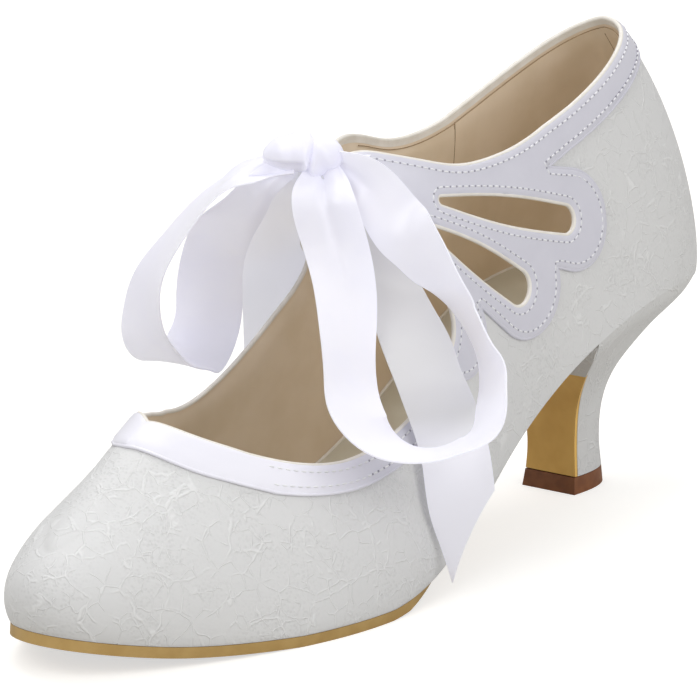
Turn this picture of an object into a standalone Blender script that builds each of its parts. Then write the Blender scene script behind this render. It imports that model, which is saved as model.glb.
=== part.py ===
"""Wedding pump for the left foot: a lasted lace upper with a satin trim, sole, curved heel and a ribbon bow.

Lengths are millimetres while the shape is worked out, and metres in the objects.
x is sideways, plus towards the wearer's left, t runs from heel back to toe, z is up.
"""
import bpy
import numpy as np
from mathutils import Vector
from mathutils.geometry import delaunay_2d_cdt

# Main sizes
METRE = 0.001
LENGTH = 240.0
CENTRE_X = 2.16
CENTRE_T = 120.61
WALL = 1.6
GAP = 0.3
SOLE = 2.4
FLAT_SPOT = 0.25
INSOLE = 1.5
TRIM_LIFT = 0.3
TRIM_TOP = 1.0
BAND = 8.3
BAND_ON_RIDGE = 12.2
BAND_GIRTH = 0.058
RIBBON_THICK = 0.6

# Outline of the last: share of the length, half width near side, half width far side
OUTLINE = np.array([
    (0.040, 14.7, 14.7), (0.120, 22.3, 22.3), (0.250, 25.2, 25.2), (0.400, 25.9, 22.8), (0.530, 33.3, 27.1),
    (0.660, 39.1, 34.6), (0.760, 36.4, 34.5), (0.860, 27.5, 28.7), (0.940, 17.7, 20.0), (0.985, 9.5, 10.5)])
# Underside of the sole: share of the length, height
UNDERSIDE = np.array([
    (0.00, 47.8), (0.15, 49.3), (0.30, 38.2), (0.45, 17.3), (0.58, 3.9), (0.68, 0.0), (0.80, 0.5),
    (0.90, 2.6), (1.00, 7.8)])
# Ridge of the last over the instep: station, height
RIDGE = np.array([
    (15.0, 180.0), (60.0, 151.0), (100.0, 119.5), (131.0, 101.2), (175.0, 66.0), (204.0, 48.0),
    (222.0, 37.1), (233.0, 30.0)])
RIDGE_START = 92.0
RIDGE_END = 232.0
# How a rib rises: share of the length, exponent of its rise near side, far side
RISE = np.array([
    (0.15, 1.57, 1.57), (0.45, 1.42, 1.42), (0.66, 1.65, 1.70), (0.75, 1.75, 2.40), (0.85, 1.47, 2.40),
    (0.93, 1.25, 1.45), (1.00, 1.05, 1.05)])
# How far a rib swells: share of the length, swell
SWELL = np.array([(0.0, 4.0), (0.2, -0.6), (0.5, 2.2), (0.8, 1.6), (1.0, 2.8)])
SWELL_REACH = 1.3
# The middle line bows to the near side at heel and toe
BOW_PLACE = 0.55
BOW_HEEL = 1.4
BOW_TOE = 1.6
BOW_POWER = 1.5

# Edge of the upper, collar: station of the rib foot and girth share on the near side, same on the far side
COLLAR = np.array([
    (0.0, 0.540, 0.0, 0.540), (9.0, 0.537, 9.0, 0.524), (22.0, 0.541, 22.0, 0.524),
    (41.0, 0.544, 41.0, 0.522), (58.0, 0.547, 58.0, 0.530), (70.5, 0.567, 70.0, 0.576),
    (78.7, 0.606, 76.6, 0.659),
    (83.9, 0.690, 79.3, 0.735), (84.4, 0.790, 79.8, 0.819), (80.0, 0.890, 78.0, 0.890),
    (76.5, 0.950, 75.5, 0.950)])
# Edge of the upper, strap end to the middle of the throat
THROAT = np.array([
    (92.0, 0.950, 92.0, 0.950), (99.0, 0.780, 99.0, 0.780), (105.0, 0.630, 105.0, 0.640),
    (108.5, 0.520, 108.5, 0.550), (108.0, 0.445, 108.0, 0.500), (111.5, 0.400, 111.5, 0.480),
    (119.0, 0.393, 119.0, 0.474), (127.0, 0.400, 127.0, 0.472), (135.5, 0.417, 135.5, 0.470),
    (151.0, 0.459, 151.0, 0.490), (163.0, 0.506, 158.0, 0.530), (172.5, 0.571, 164.5, 0.600),
    (180.5, 0.660, 171.0, 0.675), (186.5, 0.770, 177.0, 0.745), (188.0, 0.880, 182.5, 0.855),
    (186.0, 1.000, 186.0, 1.000)])
# Drop-shaped cut-outs: station and height of round end, its radius, same of narrow end, swell of the sides
DROPS = np.array([
    (71.9, 77.2, 3.9, 112.3, 88.2, 1.4, 1.2), (92.1, 64.2, 4.8, 118.8, 82.8, 1.3, 1.1)])
# Lobes of the trim: station and height of lobe, its radius, same at the strap, swell of the sides
LOBES = np.array([
    (68.5, 76.5, 12.2, 126.0, 92.0, 9.0, 0.0), (89.6, 64.2, 12.8, 126.0, 90.0, 9.0, 0.0),
    (118.0, 58.5, 11.0, 129.0, 88.0, 9.0, 0.0)])

# Covered heel: share of the height down from the seat, share of the way from seat outline to tip outline
HEEL_PROFILE = np.array([
    (0.00, 0.000), (0.09, 0.120), (0.16, 0.270), (0.22, 0.410), (0.30, 0.570), (0.39, 0.730), (0.46, 0.835),
    (0.60, 0.965), (0.74, 1.015), (0.88, 1.020), (1.00, 1.000)])
SEAT_BREAST = 63.0
TIP_BREAST = 47.8
TIP_DEPTH = 16.3
TIP_HALF_WIDTH = 7.9
TIP_MIDDLE = -0.7
LIFT_HEIGHT = 4.3
LIFT_FLARE = 1.06
FLAP_THICK = 1.1

# Sole edge: share of the length, thickness, inset of its top, inset of its underside
SOLE_EDGE = np.array([
    (0.27, 1.5, 2.0, 6.0), (0.45, 1.6, 2.0, 6.0), (0.57, 1.9, 1.2, 3.0), (0.64, 2.4, 0.0, 0.3),
    (1.00, 2.4, 0.0, 0.3)])

# Ribbon routes: middle x, t, z, width, direction across the ribbon x, t, z
NEAR_LOOP = np.array([
    (8.0, 138.4, 100.0, 8, 0.56, 0.06, 0.82), (14.5, 137.3, 96.9, 11, 0.62, -0.40, 0.66),
    (20.5, 135.6, 89.0, 14, 0.70, -0.66, 0.26), (26.0, 135.8, 84.3, 15, 0.89, -0.16, 0.42),
    (31.0, 135.4, 79.0, 15, 0.95, 0.03, 0.31), (34.5, 133.2, 73.5, 15, 0.90, 0.30, 0.30),
    (37.0, 130.0, 68.0, 15, 0.85, 0.47, 0.22), (41.5, 130.4, 62.2, 15, 0.80, 0.57, 0.15),
    (46.0, 132.5, 56.0, 15, 0.83, 0.53, 0.12), (51.5, 138.6, 50.2, 15, 0.82, 0.55, 0.10),
    (54.5, 147.0, 43.8, 15, 0.80, 0.58, 0.06), (51.5, 154.0, 41.6, 15, 0.72, 0.68, 0.12),
    (47.5, 161.5, 42.0, 15, 0.64, 0.76, 0.00), (43.0, 166.0, 44.2, 15, 0.36, 0.92, -0.10),
    (37.5, 168.0, 49.0, 15, 0.02, 0.98, -0.10), (31.3, 164.2, 54.5, 15, -0.08, 0.98, 0.05),
    (24.6, 157.5, 64.5, 15, -0.20, 0.96, 0.05), (18.5, 151.1, 75.0, 15, -0.52, 0.84, 0.00),
    (13.2, 147.4, 86.5, 13, -0.76, 0.64, 0.00), (12.6, 145.8, 94.9, 7.5, -0.77, 0.64, 0.02),
    (9.7, 144.4, 99.8, 5, -0.77, 0.64, 0.02)])
NEAR_TAIL = np.array([
    (3.6, 144.4, 96.2, 6, 0.77, -0.64, 0.00), (6.5, 144.0, 92.8, 6, 0.77, -0.64, 0.00),
    (11.6, 138.6, 85.2, 8, 0.72, -0.70, 0.00), (17.6, 136.1, 76.0, 12, 0.66, -0.75, -0.03),
    (24.0, 137.4, 67.6, 15, 0.60, -0.80, -0.05), (31.2, 140.4, 60.4, 17, 0.56, -0.83, -0.05),
    (36.6, 141.7, 51.8, 16, 0.56, -0.83, -0.05), (38.7, 139.9, 44.5, 16, 0.64, -0.77, 0.00),
    (41.5, 139.4, 35.3, 16, 0.77, -0.64, 0.05), (43.5, 140.0, 26.0, 16, 0.77, -0.64, 0.05),
    (45.2, 139.9, 17.0, 15, 0.86, -0.30, 0.12), (47.3, 140.1, 6.0, 14, 0.95, 0.05, 0.15)])
FAR_LOOP = np.array([
    (-8.2, 150.4, 99.4, 8, 0.50, 0.60, -0.50), (-12.5, 155.5, 97.0, 14, 0.66, 0.70, -0.05),
    (-17.5, 159.2, 92.0, 15, 0.68, 0.70, -0.05), (-22.1, 161.7, 86.0, 15, 0.80, 0.60, 0.02),
    (-27.2, 164.3, 78.0, 15, 0.86, 0.48, 0.08), (-31.3, 165.3, 69.0, 15, 0.92, 0.30, 0.10),
    (-33.0, 164.0, 60.0, 15, 0.98, 0.12, 0.12), (-34.5, 159.0, 52.7, 15, 0.96, -0.25, -0.06),
    (-36.0, 151.0, 48.3, 15, 0.88, -0.46, -0.10), (-36.5, 143.5, 49.0, 16, 0.80, -0.60, -0.06),
    (-34.3, 140.9, 55.5, 16, 0.77, -0.64, -0.06), (-31.0, 143.0, 65.0, 16, 0.77, -0.62, -0.14),
    (-26.0, 147.0, 75.0, 15, 0.77, -0.60, -0.20), (-19.5, 149.8, 83.5, 14, 0.77, -0.62, -0.14),
    (-12.2, 150.8, 90.0, 11, 0.77, -0.64, -0.05), (-7.0, 150.6, 95.6, 8, 0.77, -0.64, -0.05)])
FAR_TAIL = np.array([
    (-3.5, 147.0, 96.8, 7, 0.77, -0.64, 0.0), (-7.4, 146.0, 92.5, 9, 0.74, -0.67, 0.0),
    (-17.6, 136.4, 82.6, 11, 0.65, -0.76, 0.0), (-27.5, 125.2, 71.3, 14, 0.52, -0.85, 0.0),
    (-31.6, 118.8, 62.8, 16, 0.70, -0.71, 0.0), (-34.8, 114.8, 54.5, 16, 0.77, -0.64, 0.0),
    (-36.8, 112.4, 46.5, 16, 0.77, -0.64, 0.0), (-37.4, 111.4, 37.0, 16, 0.77, -0.64, 0.0),
    (-37.6, 110.8, 27.0, 16, 0.77, -0.64, 0.0), (-37.6, 110.4, 15.0, 16, 0.77, -0.64, 0.0)])
KNOT_CENTRE = (0.0, 143.5, 102.6)
KNOT_HALF = (9.6, 5.2, 5.3)
KNOT_TURN = 40.0
BAR_STATIONS = (79.5, 89.5)
BAR_SWEEP = 5.0
BAR_STEPS = 7
BAR_GIRTH = 0.84
BAR_LIFT = 1.35

# Plain colours and finishes of the solids
LACE_WHITE = (0.62, 0.62, 0.62)
SATIN_WHITE = (0.75, 0.74, 0.82)
RIBBON_WHITE = (0.85, 0.83, 0.92)
SOLE_TAN = (0.45, 0.27, 0.08)
INSOLE_TAN = (0.24, 0.18, 0.10)
LIFT_BROWN = (0.07, 0.03, 0.015)
MATT = 0.7
SMOOTH = 0.5
GLOSSY = 0.35

# How finely the surfaces are cut
TURN_SCALE = 250.0
GIRTH_SCALE = 100.0
LATTICE = 8.0
KEEP_OFF = 3.2
EDGE_STEPS = 44
THROAT_STEPS = 50
FOOT_STEPS = 46
TOE_STEPS = 12
RIDGE_STEPS = 7
BAND_STEPS = 4
BACK_STEPS = 9
DROP_STEPS = 12
LOBE_STEPS = 20
TIP_STEPS = 5
LINE_STEPS = 6
COLLAR_BAND_ROWS = slice(0, 31, 2)
THROAT_BAND_ROWS = slice(14, None, 2)
LOBE_FLOOR = 0.2
STEP = 0.01
NUDGE = 0.001
HALF_MILLIMETRE = 0.5
SEAM_DECIMALS = 5
SEARCH_STEPS = 30
SEARCH_GIRTH = 0.4
SEARCH_LIMITS = (0.01, 0.99)
WELD = 0.0001
HEEL_AROUND = 15
HEEL_LEVELS = 19
SOLE_SECTIONS = 44
SOLE_TIP = 0.985
BREAST_CLEAR = 1.2
MITRE_LIMIT = 1.6
INSOLE_SECTIONS = 48
INSOLE_ENDS = (0.03, 0.97)
INSOLE_CLEAR = 0.1
KNOT_AROUND = 20
KNOT_LEVELS = 11
KNOT_END = 0.97
LOOP_SECTIONS = (48, 40)
TAIL_SECTIONS = 30
SHARP_ANGLE = 35


def spline(places, values):
    """Natural cubic spline through the given values."""
    span = np.diff(places)
    count = len(places)
    matrix = np.eye(count)
    right = np.zeros(count)
    for i in range(1, count - 1):
        matrix[i, i - 1:i + 2] = span[i - 1], 2 * (span[i - 1] + span[i]), span[i]
        right[i] = 6 * ((values[i + 1] - values[i]) / span[i] - (values[i] - values[i - 1]) / span[i - 1])
    bend = np.linalg.solve(matrix, right)

    def curve(where):
        where = np.asarray(where, float)
        i = np.clip(np.searchsorted(places, where) - 1, 0, count - 2)
        a = (places[i + 1] - where) / span[i]
        b = 1 - a
        line = a * values[i] + b * values[i + 1]
        return line + ((a ** 3 - a) * bend[i] + (b ** 3 - b) * bend[i + 1]) * span[i] ** 2 / 6

    return curve


def turn_at(share):
    """Share of the half turn round the outline at a share of the length."""
    return np.arccos(1 - 2 * np.clip(share, 0, 1)) / np.pi


def station(turn):
    return LENGTH * (1 - np.cos(np.pi * np.asarray(turn, float))) / 2


OUTLINE_TURN = np.concatenate([[0], turn_at(OUTLINE[:, 0]), [1]])
NEAR_HALF = spline(OUTLINE_TURN, np.concatenate([[0], OUTLINE[:, 1], [0]]))
FAR_HALF = spline(OUTLINE_TURN, np.concatenate([[0], OUTLINE[:, 2], [0]]))
UNDER_LINE = spline(UNDERSIDE[:, 0] * LENGTH, UNDERSIDE[:, 1])
RIDGE_LINE = spline(RIDGE[:, 0], RIDGE[:, 1])


def underside(t):
    """Height of the sole's underside, cut flat where it rests."""
    return np.maximum(UNDER_LINE(t) - FLAT_SPOT, 0)


def middle(t):
    share = np.asarray(t, float) / LENGTH
    heel = np.clip(1 - share / BOW_PLACE, 0, 1) ** BOW_POWER
    toe = np.clip((share - BOW_PLACE) / (1 - BOW_PLACE), 0, 1) ** BOW_POWER
    return BOW_HEEL * heel + BOW_TOE * toe


def feather(turn, side, inset=0.0):
    """Plan x and t of the outline, moved inwards by the inset."""
    x, t = plain_feather(turn, side)
    across, along = outward(turn, side)
    return x - across * inset, t - along * inset


def plain_feather(turn, side):
    t = station(turn)
    half = np.where(np.asarray(side) > 0, NEAR_HALF(turn), FAR_HALF(turn))
    return middle(t) + side * half, t


def outward(turn, side):
    """Plan direction away from the last, square to the outline."""
    x_after, t_after = plain_feather(np.clip(turn + NUDGE, 0, 1), side)
    x_before, t_before = plain_feather(np.clip(turn - NUDGE, 0, 1), side)
    dx = x_after - x_before
    dt = t_after - t_before
    size = np.hypot(dx, dt)
    return side * dt / size, -side * dx / size


def rib(turn, side, girth):
    """Point on the last: the rib that starts at the outline and ends on the ridge."""
    x_foot, t_foot = plain_feather(turn, side)
    z_foot = underside(t_foot) + SOLE + GAP
    share = t_foot / LENGTH
    t_top = RIDGE_START + (RIDGE_END - RIDGE_START) * share
    z_top = RIDGE_LINE(t_top)
    slope = RIDGE_LINE(t_top - HALF_MILLIMETRE) - RIDGE_LINE(t_top + HALF_MILLIMETRE)
    lean = t_foot - t_top
    angle = girth * np.pi / 2
    inward = 1 - np.cos(angle)
    near_rise = np.interp(share, RISE[:, 0], RISE[:, 1])
    far_rise = np.interp(share, RISE[:, 0], RISE[:, 2])
    rise = np.sin(angle) ** np.where(np.asarray(side) > 0, near_rise, far_rise)
    swell = np.interp(share, SWELL[:, 0], SWELL[:, 1]) * np.sin(np.pi * np.clip(SWELL_REACH * girth, 0, 1))
    across, along = outward(turn, side)
    x = x_foot + (middle(t_top) - x_foot) * inward + across * swell
    t = t_foot - lean * inward + along * swell
    z = z_foot + (z_top - z_foot - slope * lean) * rise + slope * lean * inward
    return np.stack([x, t, z], -1)


def shell(turn, side, girth, offset):
    """Point on the last moved outwards by the offset."""
    along = rib(np.clip(turn + STEP, 0, 1), side, girth) - rib(np.clip(turn - STEP, 0, 1), side, girth)
    up = rib(turn, side, np.clip(girth + STEP, 0, 1)) - rib(turn, side, np.clip(girth - STEP, 0, 1))
    normal = np.cross(along, up) * side
    normal /= np.linalg.norm(normal, axis=-1, keepdims=True)
    return rib(turn, side, girth) + normal * offset


def on_last(t_wanted, z_wanted, side):
    """Turn and girth of the points on the last with the wanted t and z."""
    turn = turn_at(t_wanted / LENGTH)
    girth = np.full_like(turn, SEARCH_GIRTH)
    for _ in range(SEARCH_STEPS):
        here = rib(turn, side, girth)[:, 1:]
        by_turn = (rib(turn + NUDGE, side, girth)[:, 1:] - here) / NUDGE
        by_girth = (rib(turn, side, girth + NUDGE)[:, 1:] - here) / NUDGE
        off = np.stack([t_wanted, z_wanted], -1) - here
        size = by_turn[:, 0] * by_girth[:, 1] - by_turn[:, 1] * by_girth[:, 0]
        turn_step = (off[:, 0] * by_girth[:, 1] - off[:, 1] * by_girth[:, 0]) / size
        girth_step = (off[:, 1] * by_turn[:, 0] - off[:, 0] * by_turn[:, 1]) / size
        turn = np.clip(turn + turn_step, *SEARCH_LIMITS)
        girth = np.clip(girth + girth_step, *SEARCH_LIMITS)
    return turn, girth


def drop_outline(row, steps):
    """Points round two circles and the swollen lines that touch both."""
    t_round, z_round, round_radius, t_narrow, z_narrow, narrow_radius, swell = row
    length = np.hypot(t_narrow - t_round, z_narrow - z_round)
    aim = np.arctan2(z_narrow - z_round, t_narrow - t_round)
    spread = np.arccos((round_radius - narrow_radius) / length)
    big = aim + np.linspace(spread, 2 * np.pi - spread, steps)
    small = aim + np.linspace(-spread, spread, TIP_STEPS)
    line = np.linspace(0, 1, LINE_STEPS)[1:-1, None]
    big_arc = row[:2] + round_radius * np.stack([np.cos(big), np.sin(big)], -1)
    small_arc = row[3:5] + narrow_radius * np.stack([np.cos(small), np.sin(small)], -1)
    bow = swell * np.sin(np.pi * line)
    low_side = np.array([np.cos(aim - spread), np.sin(aim - spread)])
    high_side = np.array([np.cos(aim + spread), np.sin(aim + spread)])
    there = big_arc[-1] + (small_arc[0] - big_arc[-1]) * line + bow * low_side
    home = small_arc[-1] + (big_arc[0] - small_arc[-1]) * line + bow * high_side
    return np.concatenate([big_arc, there, small_arc, home])


def edge_curve(table, side, steps):
    """Smooth edge through the rows of a table, as turn and girth."""
    columns = table[:, :2] if side > 0 else table[:, 2:]
    turns = turn_at(columns[:, 0] / LENGTH)
    girths = columns[:, 1]
    flat = np.stack([turns * TURN_SCALE, girths * GIRTH_SCALE], -1)
    run = np.concatenate([[0], np.cumsum(np.linalg.norm(np.diff(flat, axis=0), axis=1))])
    where = np.linspace(0, run[-1], steps)
    return np.stack([spline(run, turns)(where), spline(run, girths)(where)], -1)


def inside(points, polygon):
    """Whether each point lies in the polygon."""
    crossings = np.zeros(len(points), int)
    for start, end in zip(polygon, np.roll(polygon, -1, axis=0)):
        between = (start[1] > points[:, 1]) != (end[1] > points[:, 1])
        rise = end[1] - start[1] if end[1] != start[1] else 1.0
        crossing = start[0] + (points[:, 1] - start[1]) * (end[0] - start[0]) / rise
        crossings += between & (points[:, 0] < crossing)
    return crossings % 2 == 1


def band_edge(edge, side):
    """The edge moved across the last by the width of the band."""
    here = shell(edge[:, 0], side, edge[:, 1], 0.0)
    by_turn = (rib(edge[:, 0] + NUDGE, side, edge[:, 1]) - here) / NUDGE
    by_girth = (here - rib(edge[:, 0], side, edge[:, 1] - NUDGE)) / NUDGE
    run = np.gradient(here, axis=0)
    run /= np.linalg.norm(run, axis=1, keepdims=True)
    normal = np.cross(by_turn, by_girth)
    normal /= np.linalg.norm(normal, axis=1, keepdims=True)
    wanted = -np.cross(normal, run) * BAND
    moved = edge.copy()
    for i in range(len(edge)):
        frame = np.stack([by_turn[i], by_girth[i]], -1)
        moved[i] += np.linalg.lstsq(frame, wanted[i], rcond=None)[0]
    return moved


def panel(side):
    """Half of the upper cut flat: points as turn and girth, triangles, and which of them are trim."""
    collar = edge_curve(COLLAR, side, EDGE_STEPS)
    throat = edge_curve(THROAT, side, THROAT_STEPS)
    foot = np.stack([np.linspace(0, 1, FOOT_STEPS), np.zeros(FOOT_STEPS)], -1)
    toe = np.stack([np.ones(TOE_STEPS), np.linspace(0, 1, TOE_STEPS)], -1)
    band_end = turn_at((THROAT[-1, 0] + BAND_ON_RIDGE) / LENGTH)
    ridge = np.concatenate([np.linspace(1, band_end, RIDGE_STEPS),
                            np.linspace(band_end, throat[-1, 0], BAND_STEPS)[1:]])
    ridge = np.stack([ridge, np.ones_like(ridge)], -1)
    band_low = COLLAR[0, 1] - BAND_GIRTH
    heel = np.concatenate([collar[:1, 1], np.linspace(band_low, 0, BACK_STEPS)])
    heel = np.stack([np.zeros_like(heel), heel], -1)
    outline = np.concatenate([foot, toe[1:], ridge[1:], throat[::-1][1:], collar[::-1], heel[1:-1]])
    collar_band = band_edge(collar, side)[COLLAR_BAND_ROWS]
    collar_band[0] = 0, band_low
    throat_band = band_edge(throat, side)[THROAT_BAND_ROWS]
    throat_band[-1] = band_end, 1
    drops = [np.stack(on_last(*drop_outline(row, DROP_STEPS).T, side), -1) for row in DROPS]
    lobes = [np.stack(on_last(*drop_outline(row, LOBE_STEPS).T, side), -1) for row in LOBES]

    scale = np.array([TURN_SCALE, GIRTH_SCALE])
    points = []
    edges = []
    lines = [(outline, True), (collar_band, False), (throat_band, False)] + [(drop, True) for drop in drops]
    for line, closed in lines:
        first = len(points)
        points += list(line)
        edges += [(first + i, first + i + 1) for i in range(len(line) - 1)]
        if closed:
            edges.append((first + len(line) - 1, first))
    for lobe in lobes:
        kept = inside(lobe, outline)
        first = len(points)
        points += list(lobe)
        for i in range(len(lobe)):
            after = (i + 1) % len(lobe)
            if kept[i] and kept[after]:
                edges.append((first + i, first + after))
    lattice = np.stack(np.meshgrid(np.arange(LATTICE / 2, TURN_SCALE, LATTICE),
                                   np.arange(LATTICE / 2, GIRTH_SCALE, LATTICE)), -1).reshape(-1, 2)
    lattice = lattice[inside(lattice / scale, outline)]
    points = np.array(points)
    taken = np.concatenate([points, points[np.array(edges)].mean(1)]) * scale
    clear = np.linalg.norm(lattice[:, None] - taken[None], axis=-1).min(1) > KEEP_OFF
    points = np.concatenate([points, lattice[clear] / scale])
    flat = [Vector(p) for p in (points * scale).tolist()]
    verts, _, faces, _, _, _ = delaunay_2d_cdt(flat, edges, [], 0, WELD)
    cut = np.array([v.to_tuple() for v in verts]) / scale
    triangles = np.array(faces)
    centre = cut[triangles].mean(1)
    place = rib(centre[:, 0], side, centre[:, 1])
    hole = np.any([inside(centre, drop) for drop in drops], axis=0)
    kept = inside(centre, outline) & ~hole
    top = np.concatenate([shell(c[:, 0], side, c[:, 1], 0.0) for c in (collar, throat)])
    near_edge = np.linalg.norm(place[:, None] - top[None], axis=-1).min(1) < BAND
    lobed = np.any([inside(centre, lobe) for lobe in lobes], axis=0)
    trim = (near_edge | (lobed & (centre[:, 1] > LOBE_FLOOR)))[kept]
    return cut, triangles[kept], trim


def both_panels():
    """Both halves welded on back seam, toe line and ridge."""
    places = []
    sides = []
    triangles = []
    trims = []
    index = {}
    for side in (1, -1):
        cut, faces, trim = panel(side)
        renumber = np.zeros(len(cut), int)
        for i, (turn, girth) in enumerate(cut.round(SEAM_DECIMALS).tolist()):
            seam = turn <= 0 or turn >= 1 or girth >= 1
            key = (turn, girth, 0 if seam else side)
            if key not in index:
                index[key] = len(places)
                places.append((turn, girth))
                sides.append(key[2])
            renumber[i] = index[key]
        triangles.append(renumber[faces][:, ::side])
        trims.append(trim)
    return np.array(places), np.array(sides), np.concatenate(triangles), np.concatenate(trims)


def lasted(places, sides, offset):
    """The flat pattern on the last, seam points taken as the mean of both sides."""
    turn = places[:, 0]
    girth = places[:, 1]
    near = shell(turn, 1, girth, offset)
    far = shell(turn, -1, girth, offset)
    share = (sides[:, None] + 1) / 2
    return near * share + far * (1 - share)


def thick_sheet(outer, inner, triangles):
    """Closed solid between two surfaces with the same triangles."""
    used, triangles = np.unique(triangles, return_inverse=True)
    triangles = triangles.reshape(-1, 3)
    count = len(used)
    sides = np.concatenate([triangles[:, [0, 1]], triangles[:, [1, 2]], triangles[:, [2, 0]]])
    _, first, uses = np.unique(np.sort(sides, axis=1), axis=0, return_index=True, return_counts=True)
    rim = sides[first[uses == 1]]
    walls = np.concatenate([np.stack([rim[:, 1], rim[:, 0], rim[:, 0] + count], -1),
                            np.stack([rim[:, 1], rim[:, 0] + count, rim[:, 1] + count], -1)])
    faces = np.concatenate([triangles, triangles[:, ::-1] + count, walls])
    return np.concatenate([outer[used], inner[used]]), faces


def loft(rings):
    """Closed solid through rings of the same length, ends filled by a strip across."""
    rings = np.asarray(rings, float)
    levels, size = rings.shape[:2]
    faces = []
    for level in range(levels - 1):
        for i in range(size):
            j = (i + 1) % size
            a = level * size + i
            b = level * size + j
            if i < size / 2:
                faces += [(a, b, b + size), (a, b + size, a + size)]
            else:
                faces += [(a, b, a + size), (b, b + size, a + size)]
    for i in range((size - 1) // 2):
        j = size - 1 - i
        last = (levels - 1) * size
        if j - 1 > i + 1:
            faces += [(j, i + 1, i), (j, j - 1, i + 1)]
            faces += [(last + i, last + i + 1, last + j), (last + i + 1, last + j - 1, last + j)]
        elif j > i + 1:
            faces += [(j, i + 1, i), (last + i, last + i + 1, last + j)]
    return rings.reshape(-1, 3), np.array(faces)


def add_part(name, points, triangles, colour, roughness):
    """One named object with its own material, faces turned outwards."""
    place = np.stack([points[:, 0] - CENTRE_X, CENTRE_T - points[:, 1], points[:, 2]], -1) * METRE
    corner = place[triangles]
    volume = np.einsum("ij,ij->i", corner[:, 0], np.cross(corner[:, 1], corner[:, 2])).sum()
    if volume < 0:
        triangles = triangles[:, ::-1]
    mesh = bpy.data.meshes.new(name)
    mesh.from_pydata(place.tolist(), [], triangles.tolist())
    mesh.shade_smooth()
    mesh.set_sharp_from_angle(angle=np.radians(SHARP_ANGLE))
    material = bpy.data.materials.new(name)
    material.use_nodes = True
    surface = material.node_tree.nodes["Principled BSDF"]
    surface.inputs["Base Color"].default_value = (*colour, 1)
    surface.inputs["Roughness"].default_value = roughness
    mesh.materials.append(material)
    part = bpy.data.objects.new(name, mesh)
    bpy.context.scene.collection.objects.link(part)


def outline_ring(turns, inset, height):
    """Ring along the outline: near side to the toe end, far side back."""
    near_x, near_t = feather(turns, 1, inset)
    far_x, far_t = feather(turns, -1, inset)
    near = np.stack([near_x, near_t, height(near_t)], -1)
    far = np.stack([far_x, far_t, height(far_t)], -1)
    return np.concatenate([near, far[::-1]])


def seat_height(t):
    return underside(t) + SOLE


def heel_rings():
    """Seat outline drawn in to the outline of the heel tip."""
    turns = np.linspace(turn_at(SEAT_BREAST / LENGTH), 0, HEEL_AROUND)
    near_x, near_t = plain_feather(turns, 1)
    far_x, far_t = plain_feather(turns, -1)
    x = np.concatenate([near_x, far_x[::-1][1:]])
    t = np.concatenate([near_t, far_t[::-1][1:]])
    seat_middle = (near_x[0] + far_x[0]) / 2
    seat_half = (near_x[0] - far_x[0]) / 2
    tip_x = TIP_MIDDLE + (x - seat_middle) * TIP_HALF_WIDTH / seat_half
    tip_t = TIP_BREAST - (SEAT_BREAST - t) * TIP_DEPTH / SEAT_BREAST
    tip_z = LIFT_HEIGHT + GAP
    shares = np.linspace(0, 1, HEEL_LEVELS)
    closing = spline(HEEL_PROFILE[:, 0], HEEL_PROFILE[:, 1])(shares)
    rings = []
    for share, close in zip(shares, closing):
        ring_x = x + (tip_x - x) * close
        ring_t = t + (tip_t - t) * close
        ring_z = seat_height(t) + (tip_z - seat_height(t)) * share
        rings.append(np.stack([ring_x, ring_t, ring_z], -1))
    return np.array(rings)


def offset_line(line, distances):
    """Line in t and z moved to its left, with mitred corners."""
    run = np.diff(line, axis=0)
    run /= np.linalg.norm(run, axis=1, keepdims=True)
    left = np.stack([-run[:, 1], run[:, 0]], -1)
    before = np.concatenate([left[:1], left])
    after = np.concatenate([left, left[-1:]])
    both = before + after
    both /= np.linalg.norm(both, axis=1, keepdims=True)
    reach = np.clip(1 / (both * before).sum(1, keepdims=True), 1, MITRE_LIMIT)
    return line + both * reach * np.asarray(distances)[:, None]


def outsole_rings(heel):
    """Sections from the toe tip along the waist and down the heel breast."""
    turns = np.linspace(SOLE_TIP, turn_at((SEAT_BREAST + BREAST_CLEAR) / LENGTH), SOLE_SECTIONS)
    t = station(turns)
    share = t / LENGTH
    thick, top_inset, low_inset = [np.interp(share, SOLE_EDGE[:, 0], SOLE_EDGE[:, i]) for i in (1, 2, 3)]
    breast = heel[1::2, [0, -1]]
    line = np.concatenate([np.stack([t, seat_height(t)], -1), breast[:, 0, 1:] + np.array([GAP, 0])])
    other = offset_line(line, np.concatenate([thick, np.full(len(breast), FLAP_THICK)]))
    other[:, 1] = np.maximum(other[:, 1], 0)
    near_x = plain_feather(turns, 1)[0]
    far_x = plain_feather(turns, -1)[0]
    near_top = np.concatenate([near_x - top_inset, breast[:, 0, 0]])
    far_top = np.concatenate([far_x + top_inset, breast[:, 1, 0]])
    near_low = np.concatenate([near_x - low_inset, breast[:, 0, 0]])
    far_low = np.concatenate([far_x + low_inset, breast[:, 1, 0]])
    rings = []
    for i in range(len(line)):
        rings.append([(near_top[i], *line[i]), (far_top[i], *line[i]), (far_low[i], *other[i]),
                      (near_low[i], *other[i])])
    return np.array(rings)


def ribbon_rings(rows, sections):
    """Flat sections square to a smooth route."""
    run = np.concatenate([[0], np.cumsum(np.linalg.norm(np.diff(rows[:, :3], axis=0), axis=1))])
    where = np.linspace(0, run[-1], sections)
    smooth = np.stack([spline(run, rows[:, i])(where) for i in range(7)], -1)
    centre = smooth[:, :3]
    along = np.gradient(centre, axis=0)
    along /= np.linalg.norm(along, axis=1, keepdims=True)
    across = smooth[:, 4:] - along * (smooth[:, 4:] * along).sum(1, keepdims=True)
    across /= np.linalg.norm(across, axis=1, keepdims=True)
    face = np.cross(along, across) * RIBBON_THICK / 2
    half = across * smooth[:, 3:4] / 2
    below = centre - face
    above = centre + face
    return np.stack([below - half, below + half, above + half, above - half], 1)


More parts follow.
